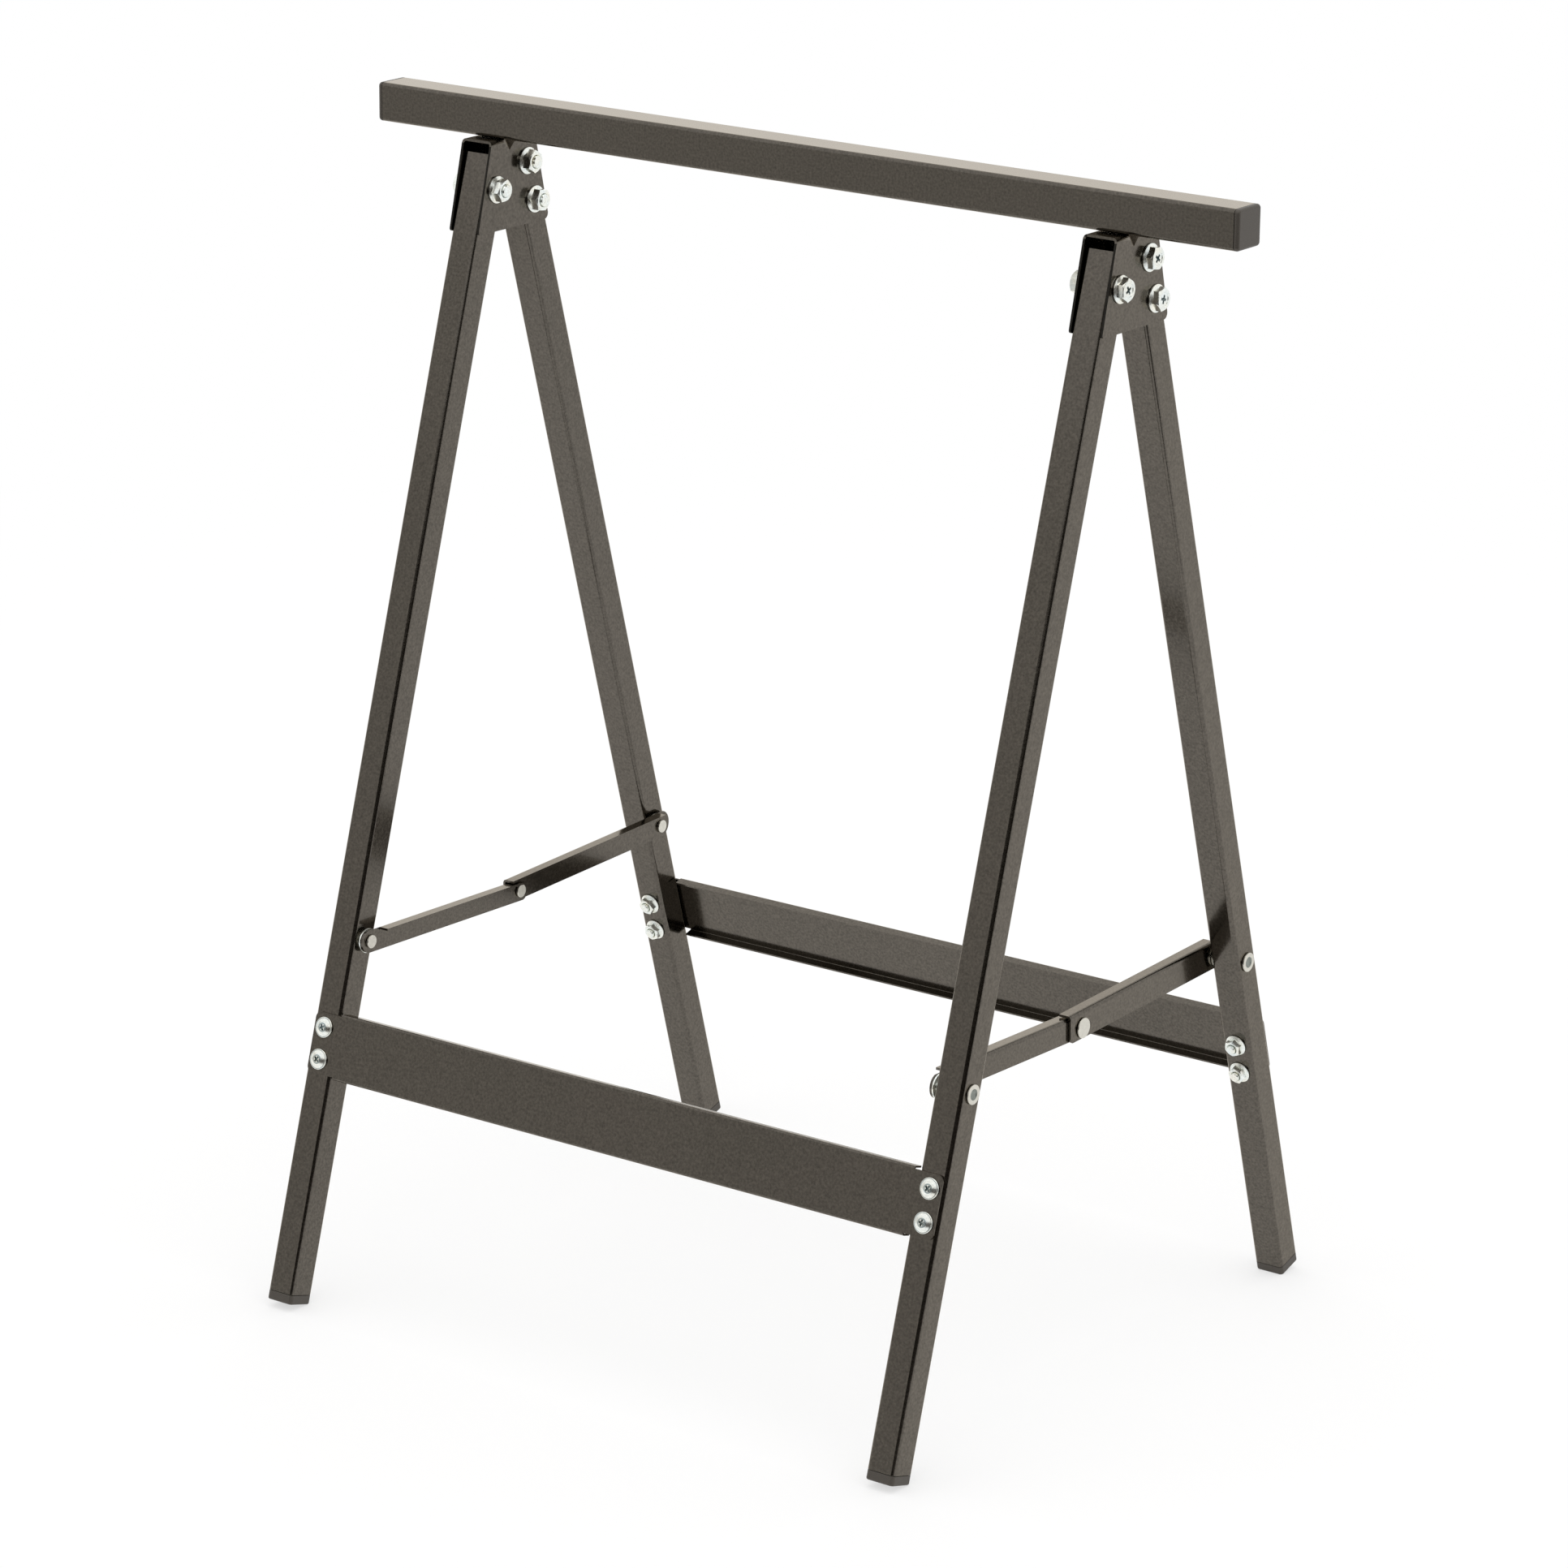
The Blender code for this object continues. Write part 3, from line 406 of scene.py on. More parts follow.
@dataclass(frozen=True)
class BrightZinc(Finish):
    """Bright zinc plating: a pale metal with small crystals and a cloudy haze."""

    crystal_scale: float = 900.0
    crystal_depth: float = 4e-6
    crystal_shade: Span = (0.68, 1.18)
    haze_scale: float = 160.0
    haze_ends: Span = (0.30, 0.70)
    haze_gloss: Span = (-0.06, 0.10)
    warmth: Colour = (1.05, 0.97, 0.88)

    def surface(self, sheet: NodeSheet) -> Signal:
        """The haze shifts the colour to cream and dulls the gloss, and the crystals vary the shade.

        Args:
            sheet: The sheet of nodes.

        Returns:
            The shader.
        """
        where = own_place(sheet)
        crystal = sheet.noise(where, self.crystal_scale, 4.0)
        haze = sheet.noise(where, self.haze_scale)
        cream = tuple(part * share for part, share in zip(self.colour, self.warmth))
        stops = list(zip(self.haze_ends, (cream, self.colour)))
        tint = sheet.add("ShaderNodeValToRGB", {"stops": stops}, {"Fac": haze})
        colour = tint * sheet.between(crystal, self.crystal_shade)
        relief = bump(sheet, crystal, self.crystal_depth)
        return self.shader(sheet, colour, self.gloss(sheet, haze, self.haze_gloss), relief)


@dataclass(frozen=True)
class PressedSteel(Finish):
    """Pale rivet steel with the dull, dented skin of a pressed end."""

    mottle: float = 0.14
    dent_scale: float = 420.0
    dent_depth: float = 1.5e-5
    dent_shade: float = 0.96
    rub_scale: float = 1700.0
    rub_shade: Span = (0.92, 1.08)
    rub_gloss: Span = (-0.08, 0.10)

    def surface(self, sheet: NodeSheet) -> Signal:
        """Dents and rubbed patches from the press.

        Args:
            sheet: The sheet of nodes.

        Returns:
            The shader.
        """
        where = own_place(sheet)
        dent = sheet.noise(where, self.dent_scale, 3.0)
        rub = sheet.noise(where, self.rub_scale)
        dented = sheet.between(dent, (self.dent_shade - self.mottle, self.dent_shade + self.mottle))
        colour = self.tinted(sheet, dented * sheet.between(rub, self.rub_shade))
        relief = bump(sheet, dent, self.dent_depth)
        return self.shader(sheet, colour, self.gloss(sheet, rub, self.rub_gloss), relief)


@dataclass(frozen=True)
class MouldedPlastic(Finish):
    """Dark moulded plastic with a fine spark-eroded grain."""

    grain_scale: float = 2400.0
    grain_depth: float = 8e-6
    grain_shade: Span = (0.80, 1.20)
    rub_scale: float = 60.0
    rub_shade: Span = (0.94, 1.06)
    rub_gloss: Span = (-0.06, 0.06)

    def surface(self, sheet: NodeSheet) -> Signal:
        """The grain varies the shade, and handling polishes it in places.

        Args:
            sheet: The sheet of nodes.

        Returns:
            The shader.
        """
        where = own_place(sheet)
        grain = sheet.noise(where, self.grain_scale, 3.0)
        rub = sheet.noise(where, self.rub_scale)
        shade = sheet.between(grain, self.grain_shade) * sheet.between(rub, self.rub_shade)
        relief = bump(sheet, grain, self.grain_depth)
        return self.shader(sheet, self.tinted(sheet, shade), self.gloss(sheet, rub, self.rub_gloss), relief)


PAINT = MetallicPaint("anthracite_paint", Slot.PAINT, (0.105, 0.0935, 0.0785), 0.17, 1.0)
# EDGE is painted shade: near-black paint on the cheeks' front edges stands in for the shadowed gap between
# cheek and leg.
EDGE = MetallicPaint("edge_paint", Slot.PAINT, (0.018, 0.016, 0.013), 0.45, 1.0)
ZINC = BrightZinc("bright_zinc", Slot.ZINC, (0.90, 0.96, 0.95), 0.22, 1.0)
# RECESS_SHADE_ZINC is painted shade: darker zinc on the faces inside the cross recesses, where shade falls.
RECESS_SHADE_ZINC = BrightZinc("dull_zinc", Slot.ZINC, (0.40, 0.48, 0.50), 0.34, 1.0)
RIVET = PressedSteel("rivet_steel_skin", Slot.RIVET, (0.70, 0.68, 0.61), 0.34, 1.0)
# DIMPLE_SHADE is painted shade: the rivet steel is much darker inside the pressed dimple; its strong mottle
# is the dented skin.
DIMPLE_SHADE = PressedSteel("pressed_dimple_skin", Slot.RIVET, (0.27, 0.29, 0.265), 0.40, 1.0, mottle=0.42)
PLASTIC = MouldedPlastic("cap_plastic_grain", Slot.PLASTIC, (0.068, 0.059, 0.049), 0.42, 0.35)


# Modelling by hand


class Piece:
    """One mesh that is modelled as by hand, with Blender's own operators."""

    def __init__(self, shown: bpy.types.Object) -> None:
        """Takes an object in hand.

        Args:
            shown: The mesh object.
        """
        self.shown = shown

    @staticmethod
    def deselect() -> None:
        """Leaves edit mode and deselects everything."""
        active = bpy.context.view_layer.objects.active
        if active is not None and active.mode != "OBJECT":
            bpy.ops.object.mode_set(mode="OBJECT")
        bpy.ops.object.select_all(action="DESELECT")

    @classmethod
    def _newest(cls, name: str) -> "Piece":
        """Takes in hand the object that was just added.

        Args:
            name: Its name.

        Returns:
            The piece.
        """
        shown = bpy.context.view_layer.objects.active
        shown.name = name
        shown.data.name = name
        return cls(shown)

    def settle(self) -> "Piece":
        """Sets the object's place, turn and scale in its mesh."""
        bpy.ops.object.transform_apply(location=True, rotation=True, scale=True)
        return self

    @classmethod
    def block(cls, name: str, low: Point, high: Point) -> "Piece":
        """Adds a cube primitive between two corners.

        Args:
            name: The piece's name.
            low: Its lowest corner.
            high: Its highest corner.

        Returns:
            The piece.
        """
        cls.deselect()
        centre = [(a + b) / 2 for a, b in zip(low, high)]
        bpy.ops.mesh.primitive_cube_add(size=1, location=centre)
        bpy.context.view_layer.objects.active.scale = [b - a for a, b in zip(low, high)]
        return cls._newest(name).settle()

    @classmethod
    def barrel(cls, name: str, radius: float, low: float, high: float, sides: int = 48) -> "Piece":
        """Adds a cylinder primitive on the Z axis.

        Args:
            name: The piece's name.
            radius: Its radius.
            low: The height of its lower end.
            high: The height of its upper end.
            sides: The number of its sides.

        Returns:
            The piece.
        """
        cls.deselect()
        bpy.ops.mesh.primitive_cylinder_add(vertices=sides, radius=radius, depth=high - low,
                                            location=(0, 0, (low + high) / 2))
        return cls._newest(name).settle()

    def take(self) -> None:
        """Selects this piece alone, in object mode."""
        self.deselect()
        self.shown.select_set(True)
        bpy.context.view_layer.objects.active = self.shown

    def _edit(self, action: str) -> None:
        """Goes into edit mode and selects or deselects everything.

        Args:
            action: SELECT or DESELECT.
        """
        self.take()
        bpy.ops.object.mode_set(mode="EDIT")
        bpy.ops.mesh.select_all(action=action)

    def _pick(self, part: Part, test: Callable[[Any], bool]) -> "Piece":
        """Goes into edit mode and selects what passes a test.

        Args:
            part: What is tested.
            test: The test.

        Returns:
            The piece, in edit mode.
        """
        self._edit("DESELECT")
        bpy.ops.mesh.select_mode(type=part.name)
        shape = bmesh.from_edit_mesh(self.shown.data)
        for item in getattr(shape, part.value):
            item.select_set(test(item))
        bmesh.update_edit_mesh(self.shown.data)
        return self

    def faces(self, test: FaceTest) -> "Piece":
        """Selects the faces whose centre and normal pass a test, in edit mode."""
        return self._pick(Part.FACE, lambda face: test(face.calc_center_median(), face.normal))

    def edges(self, test: EdgeTest) -> "Piece":
        """Selects the edges whose two ends pass a test, in edit mode."""
        return self._pick(Part.EDGE, lambda edge: test(edge.verts[0].co, edge.verts[1].co))

    def points(self, test: Callable[[Vector], bool]) -> "Piece":
        """Selects the points that pass a test, in edit mode."""
        return self._pick(Part.VERT, lambda point: test(point.co))

    def open_up(self) -> "Piece":
        """Deletes the selected faces."""
        bpy.ops.mesh.delete(type="FACE")
        return self

    def round_edges(self, width: float, steps: int) -> "Piece":
        """Bevels the selected edges.

        Args:
            width: The bevel's width.
            steps: Its segments.

        Returns:
            The piece.
        """
        bpy.ops.mesh.bevel(offset_type="OFFSET", offset=width, segments=steps, profile=0.5, affect="EDGES")
        return self

    def round_corners(self, width: float, steps: int) -> "Piece":
        """Bevels the selected points of a sheet.

        Args:
            width: How far the round reaches along the sheet's edges.
            steps: Its segments.

        Returns:
            The piece.
        """
        bpy.ops.mesh.bevel(offset_type="OFFSET", offset=width, segments=steps, profile=0.5, affect="VERTICES")
        return self

    def inset(self, width: float) -> "Piece":
        """Insets the selected faces by a width."""
        bpy.ops.mesh.inset(thickness=width, depth=0)
        return self

    def extrude(self, way: Point) -> "Piece":
        """Extrudes the selected faces along a vector."""
        bpy.ops.mesh.extrude_region_move(TRANSFORM_OT_translate={"value": way})
        return self

    def widen(self, amounts: Point, centre: Point = (0, 0, 0)) -> "Piece":
        """Scales what is selected.

        Args:
            amounts: The scale along each axis.
            centre: The point that stays.

        Returns:
            The piece.
        """
        bpy.ops.transform.resize(value=amounts, center_override=centre)
        return self

    def build_up(self, way: int, start: Level, levels: Iterable[Level]) -> "Piece":
        """Extrudes and scales one end of a barrel again and again, as on a lathe.

        Args:
            way: 1 for the upper end and -1 for the lower one.
            start: The end's radius and height.
            levels: The radius and height of each step.

        Returns:
            The piece.
        """
        radius, height = start
        self.faces(lambda centre, normal: abs(centre.z - start[1]) < TOUCH and normal.z * way > FACING)
        for wide, level in levels:
            self.extrude((0, 0, level - height)).widen((wide / radius, wide / radius, 1), (0, 0, level))
            radius, height = wide, level
        return self

    def modify(self, kind: str, **settings: Any) -> "Piece":
        """Adds a modifier and applies it.

        Args:
            kind: The modifier's type.
            settings: Its settings.

        Returns:
            The piece, in object mode.
        """
        self.take()
        step = self.shown.modifiers.new(kind.lower(), kind)
        for name, value in settings.items():
            setattr(step, name, value)
        bpy.ops.object.modifier_apply(modifier=step.name)
        return self

    def combine(self, tool: "Piece", how: Cut = Cut.AWAY) -> "Piece":
        """Cuts, joins or intersects this piece with another, which is used up.

        Args:
            tool: The other piece.
            how: What it does.

        Returns:
            The piece.
        """
        self.modify("BOOLEAN", object=tool.shown, operation=how.value, solver="EXACT")
        bpy.data.objects.remove(tool.shown, do_unlink=True)
        return self

    def wall(self, thickness: float) -> "Piece":
        """Gives an open skin a wall on its inner side."""
        return self.modify("SOLIDIFY", thickness=thickness, offset=-1, use_even_offset=True)

    def soften(self, width: float, steps: int, angle: float) -> "Piece":
        """Rounds every edge sharper than an angle.

        Args:
            width: The width of the round.
            steps: Its segments.
            angle: The angle in degrees.

        Returns:
            The piece, in object mode.
        """
        self._edit("SELECT")
        bpy.ops.mesh.remove_doubles(threshold=2 * TOUCH)
        bpy.ops.mesh.dissolve_limited(angle_limit=math.radians(0.5))
        return self.modify("BEVEL", width=width, segments=steps, limit_method="ANGLE",
                           angle_limit=math.radians(angle), use_clamp_overlap=True, harden_normals=False)

    def put(self, place: Matrix) -> "Piece":
        """Moves the piece, with its new place in its mesh.

        Args:
            place: The matrix, which may mirror.

        Returns:
            The piece.
        """
        self.take()
        self.shown.matrix_world = place
        self.settle()
        if place.determinant() < 0:
            self._edit("SELECT")
            bpy.ops.mesh.normals_make_consistent(inside=False)
            self.take()
        return self

    def paint_faces(self, first: Finish, second: Finish, test: FaceTest) -> "Piece":
        """Gives the faces that pass a test a second finish.

        Args:
            first: The finish of the whole piece.
            second: The finish of the chosen faces.
            test: The test.

        Returns:
            The piece, in object mode.
        """
        for finish in (first, second):
            self.shown.data.materials.append(finish.material())
        self.faces(test)
        self.shown.active_material_index = 1
        bpy.ops.object.material_slot_assign()
        self.take()
        return self

    def copy(self, name: str) -> "Piece":
        """Copies the piece with its own mesh.

        Args:
            name: The copy's name.

        Returns:
            The copy.
        """
        self.take()
        bpy.ops.object.duplicate(linked=False)
        return self._newest(name)

    def remove(self) -> None:
        """Takes the piece out of the scene."""
        bpy.data.objects.remove(self.shown, do_unlink=True)

    def dress(self, finish: Finish, body: str, node: str, smooth: float = 35.0) -> None:
        """Gives the piece its finish and lets it stand for its CAD node.

        Args:
            finish: The finish.
            body: The body that it rides on.
            node: The CAD node that it replaces.
            smooth: The angle, in degrees, below which edges are smooth.
        """
        self.take()
        bpy.ops.object.shade_smooth_by_angle(angle=math.radians(smooth))
        self.modify("WEIGHTED_NORMAL", keep_sharp=True, weight=100)
        self.deselect()
        if not self.shown.data.materials:
            self.shown.data.materials.append(finish.material())
        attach(self.shown, body)
        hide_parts(node)
        LOG.info("%s: %d faces, rides on %s", self.shown.name, len(self.shown.data.polygons), body)


def turned(name: str, start: tuple[float, float, float], up: Iterable[Level] = (),
           down: Iterable[Level] = ()) -> Piece:
    """A round piece on the Z axis, built up from a barrel at both ends.

    Args:
        name: The piece's name.
        start: The barrel's radius and the heights of its lower and upper end.
        up: The radius and height of each step above it.
        down: The radius and height of each step below it.

    Returns:
        The piece.
    """
    radius, low, high = start
    piece = Piece.barrel(name, radius, low, high)
    piece.build_up(1, (radius, high), up).build_up(-1, (radius, low), down)
    Piece.deselect()
    return piece


def across(way: int, place: Point) -> Matrix:
    """Where a fastener goes whose axis points along X.

    Args:
        way: 1 if its head faces +X and -1 if it faces -X.
        place: Its seat.

    Returns:
        The matrix.
    """
    return Matrix.Translation(place) @ Matrix.Rotation(way * math.pi / 2, 4, "Y")


def spun(angles: Spin, number: int, way: int) -> Matrix:
    """How far a fastener is turned about its own axis, so that no two stand alike.

    Args:
        angles: The first one's angle, what each next one adds and what the side adds, in degrees.
        number: The fastener's number.
        way: The side's direction along X.

    Returns:
        The matrix.
    """
    first, step, side = angles
    return Matrix.Rotation(math.radians(first + step * number + side * way), 4, "Z")


def within(radius: float, low: float, high: float) -> FaceTest:
    """A test for the faces near the Z axis.

    Args:
        radius: How near their centres are.
        low: The height that their centres are above.
        high: The height that their centres are below.

    Returns:
        The test.
    """
    return lambda centre, normal: math.hypot(centre.x, centre.y) < radius and low < centre.z < high


# Fasteners


@dataclass(frozen=True)
class CrossRecess:
    """The tapered cross that a screwdriver turns."""

    span: float = 7.2 * MM
    blade: float = 2.1 * MM
    depth: float = 2.2 * MM
    taper: float = 0.5
    above: float = 2 * MM

    def tool(self, top: float) -> Piece:
        """The shape that cuts the cross.

        Args:
            top: The height of the surface that it goes into.

        Returns:
            The cutting piece.
        """
        arms = []
        for wide, deep in ((self.span, self.blade), (self.blade, self.span)):
            low = (-wide / 2, -deep / 2, top - self.depth)
            arms.append(Piece.block("cross_arm", low, (wide / 2, deep / 2, top + self.above)))
            arms[-1].points(lambda point: point.z < top).widen((self.taper, self.taper, 1), (0, 0, top))
        return arms[0].combine(arms[1], Cut.TOGETHER)

    def inside(self, top: float) -> FaceTest:
        """A test for the faces of a cross that goes into a surface at this height, which get painted shade.
        """
        return within(self.span * 0.52, top - 1.1 * self.depth, top - 0.2 * MM)


@dataclass(frozen=True)
class Thread:
    """A plain shank with the ridges of a thread towards its lower end and a blunt tip."""

    radius: float
    length: float
    pitch: float
    nose: float
    tip_height: float
    groove: float
    tip: float
    turns: int = 8
    groove_at: float = 0.42
    ridge: float = 0.99
    ridge_at: float = 0.90
    neck: float = 0.97

    def steps(self) -> list[Level]:
        """Works out the shank's shape.

        Returns:
            The radius and height of each step down from the seat.
        """
        level = self.turns * self.pitch + self.nose - self.length
        steps = [(self.radius, 0.0), (self.radius, level)]
        for _ in range(self.turns):
            steps.append((self.radius * self.groove, level - self.pitch * self.groove_at))
            steps.append((self.radius * self.ridge, level - self.pitch * self.ridge_at))
            level -= self.pitch
        steps.append((self.radius * self.neck, self.tip_height - self.length))
        steps.append((self.radius * self.tip, -self.length))
        return steps


@dataclass(frozen=True)
class FlangedHexagon:
    """A hexagon on a round flange, with its upper corners turned off."""

    flats: float
    flange: float
    flange_height: float
    height: float
    chamfer: float
    crown: float
    rim: float = 0.7
    cone: float = 0.49
    cone_top: float = 1.6
    spare: float = 1 * MM

    def build(self, name: str, down: Iterable[Level] = ()) -> Piece:
        """Models the flange and the hexagon: it seats at z = 0.

        Args:
            name: The piece's name.
            down: The steps of a shank below it.

        Returns:
            The piece.
        """
        cone = [(self.flats * self.cone, self.cone_top * self.flange_height)]
        body = turned(name, (self.flange, 0, self.rim * self.flange_height), cone, down)
        corner = self.flats / math.sqrt(3)
        # The bar is cut from above the head, so that its end and the turned top never share one height.
        prism = Piece.barrel("hexagon", corner, 0.5 * self.flange_height, self.height + self.spare, 6)
        lathe = turned("lathe", (corner * 1.03, -self.spare, self.height - self.chamfer),
                       [(self.flats * self.crown, self.height)])
        return body.combine(prism.combine(lathe, Cut.SHARED), Cut.TOGETHER)


@dataclass(frozen=True)
class FlangeBolt:
    """The hexagon flange bolts of the brackets, with a dished, cross-slotted head and a threaded tip."""

    head: FlangedHexagon = FlangedHexagon(13 * MM, 8.6 * MM, 1.4 * MM, 6.2 * MM, 1.1 * MM, 0.475)
    thread: Thread = Thread(4 * MM, 33.1 * MM, 1.25 * MM, 2.0 * MM, 0.6 * MM, 0.93, 0.84)
    recess: CrossRecess = CrossRecess()
    dish_depth: float = 0.5 * MM
    dish_floor: float = 0.33
    dish_rim: float = 0.40
    edge: float = 0.22 * MM

    def build(self, name: str) -> Piece:
        """Models the bolt: it seats at z = 0 with its head above.

        Args:
            name: The piece's name.

        Returns:
            The bolt.
        """
        body = self.head.build(name, self.thread.steps())
        flats, top = self.head.flats, self.head.height
        floor = top - self.dish_depth
        dish = turned("dish", (flats * self.dish_floor, floor, top - 0.2 * MM),
                      [(flats * self.dish_rim, top + 0.1 * MM)])
        body.combine(dish).combine(self.recess.tool(floor)).soften(self.edge, 2, 28)
        # The cross recess gets darker zinc, painted shade.
        return body.paint_faces(ZINC, RECESS_SHADE_ZINC, self.recess.inside(floor))


@dataclass(frozen=True)
class FlangeNut:
    """A hexagon flange nut with a countersunk thread."""

    bore: float
    head: FlangedHexagon
    play: float = 0.06 * MM
    sink: float = 0.45 * MM
    sink_depth: float = 0.5 * MM
    edge: float = 0.2 * MM

    def build(self, name: str) -> Piece:
        """Models the nut: it seats at z = 0.

        Args:
            name: The piece's name.

        Returns:
            The nut.
        """
        body = self.head.build(name)
        clear, top = self.bore + self.play, self.head.height
        sunk = clear + self.sink
        drill = turned("thread", (clear, -2 * MM, top - self.sink_depth),
                       [(sunk, top - 0.05 * MM), (sunk, top + 1 * MM)])
        return body.combine(drill).soften(self.edge, 2, 28)


@dataclass(frozen=True)
class PanScrew:
    """The flanged pan-head screws of the rails, with a cross recess and a threaded tip."""

    flange: float = 6.7 * MM
    flange_height: float = 0.9 * MM
    dome: float = 5.9 * MM
    dome_shares: tuple[float, ...] = (0.93, 0.82, 0.68, 0.52, 0.35, 0.18)
    height: float = 2.6 * MM
    thread: Thread = Thread(3 * MM, 29.5 * MM, 1.0 * MM, 1.6 * MM, 0.5 * MM, 0.92, 0.82)
    recess: CrossRecess = CrossRecess(6.0 * MM, 1.8 * MM, 1.5 * MM)
    edge: float = 0.14 * MM

    def build(self, name: str) -> Piece:
        """Models the screw: it seats at z = 0 with its head above.

        Args:
            name: The piece's name.

        Returns:
            The screw.
        """
        seam, crown = self.flange_height, self.height - self.flange_height
        up = [(self.flange - 0.12 * MM, 0.8 * seam), (self.flange - 0.4 * MM, seam), (self.dome, seam)]
        up += [(self.dome * share, seam + crown * (1 - share ** 2)) for share in self.dome_shares]
        body = turned(name, (self.flange, 0, 0.45 * seam), up, self.thread.steps())
        floor = self.height - 0.1 * MM
        body.combine(self.recess.tool(floor)).soften(self.edge, 2, 30)
        # The cross recess gets darker zinc, painted shade.
        return body.paint_faces(ZINC, RECESS_SHADE_ZINC, self.recess.inside(floor))


@dataclass(frozen=True)
class Rivet:
    """The rivets of the braces: a wide pressed end, a shank and a small head."""

    radius: float = 2.8 * MM
    tail: float = 6.2 * MM
    tail_height: float = 1.2 * MM
    dimple: float = 3.6 * MM
    dimple_depth: float = 0.75 * MM
    dimple_floor: float = 0.72
    head: float = 4.3 * MM
    head_height: float = 1.5 * MM

    def pressed(self, name: str, grip: float, headed: bool) -> Piece:
        """A rivet whose wide end seats at z = 0 and has a pressed dimple.

        Args:
            name: The piece's name.
            grip: How long its shank is.
            headed: True if its small head is on this piece.

        Returns:
            The rivet.
        """
        top = self.tail_height
        up = [(self.dimple, top), (self.dimple * self.dimple_floor, top - self.dimple_depth)]
        body = turned(name, (self.tail, 0, top), up, self.shank(grip, headed))
        body.soften(0.28 * MM, 3, 28)
        # The dimple's faces get darker steel, painted shade.
        pit = within(self.dimple, top - 1.1 * self.dimple_depth, top - 0.1 * MM)
        return body.paint_faces(RIVET, DIMPLE_SHADE, pit)

    def plain(self, name: str, radius: float, height: float, grip: float) -> Piece:
        """A rivet whose wide end is a plain flat button.

        Args:
            name: The piece's name.
            radius: The button's radius.
            height: Its height.
            grip: How long the shank is.

        Returns:
            The rivet.
        """
        body = turned(name, (radius, 0, height), (), self.shank(grip, True))
        return body.soften(0.4 * MM, 4, 28)

    def stub(self, name: str, top: float) -> Piece:
        """The small head by itself, seated at z = 0 below the end of its shank.

        Args:
            name: The piece's name.
            top: How far the shank stands above the seat.

        Returns:
            The head.
        """
        body = turned(name, (self.radius, 0, top), (), [(self.head, 0), (self.head, -self.head_height)])
        return body.soften(0.35 * MM, 3, 28)

    def shank(self, grip: float, headed: bool) -> list[Level]:
        """The steps below the wide end.

        Args:
            grip: How long the shank is.
            headed: True if the small head follows.

        Returns:
            The radius and height of each step.
        """
        steps = [(self.radius, 0.0), (self.radius, -grip)]
        if headed:
            steps += [(self.head, -grip), (self.head, -grip - self.head_height)]
        return steps


# Sub-assemblies


@dataclass
class Cap:
    """A moulded cap for the end of a square tube: a rounded plate on a hollow plug."""

    size: float
    thickness: float
    plug: float
    tube_wall: float
    corner: float
    rim: float = 1.2 * MM
    wall: float = 2 * MM
    edge: float = 0.25 * MM

    def build(self, name: str) -> Piece:
        """Models the cap: the tube's end is at z = 0, with its plate below and its plug above.

        Args:
            name: The piece's name.

        Returns:
            The cap.
        """
        half = self.size / 2
        low = -GAP - self.thickness
        cap = Piece.block(name, (-half, -half, low), (half, half, -GAP))
        cap.edges(lambda a, b: abs(a.z - b.z) > MM).round_edges(self.corner, 6)
        cap.faces(lambda centre, normal: normal.z > FACING).inset(self.tube_wall + GAP)
        cap.extrude((0, 0, self.plug + GAP)).inset(self.wall).extrude((0, 0, -self.plug))
        cap.edges(lambda a, b: max(a.z, b.z) < low + TOUCH).round_edges(self.rim, 5)
        return cap.soften(self.edge, 2, 50)


@dataclass
class Beam:
    """The square beam with its two end caps."""

    size: float = 25 * MM
    wall: float = 1.5 * MM
    corner: float = 2.5 * MM
    length: float = 640 * MM
    top: float = 750 * MM
    cap_thickness: float = 3 * MM
    cap_plug: float = 14 * MM
    cap_rim: float = 2.1 * MM
    edge: float = 0.2 * MM
    body: str = Frame.REAR.value

    def build(self) -> None:
        """Models the tube and one cap, and seats a cap in each end."""
        half, end = self.size / 2, self.length / 2
        tube = Piece.block("beam_tube", (-end, -half, self.top - self.size), (end, half, self.top))
        tube.edges(lambda a, b: abs(a.x - b.x) > self.length / 2).round_edges(self.corner, 8)
        tube.faces(lambda centre, normal: abs(normal.x) > FACING).open_up()
        tube.wall(self.wall).soften(self.edge, 2, 50)
        tube.dress(PAINT, self.body, "beam")
        sizes = Cap(self.size, self.cap_thickness, self.cap_plug, self.wall, self.corner, self.cap_rim)
        cap = sizes.build("beam_cap")
        for side in Side:
            seat = across(-side.value, (side.value * end, 0, self.top - half))
            placed = cap.copy(f"beam_end_cap_{side.word}").put(seat)
            placed.dress(PLASTIC, self.body, f"beam_cap_{side.word}")
        cap.remove()


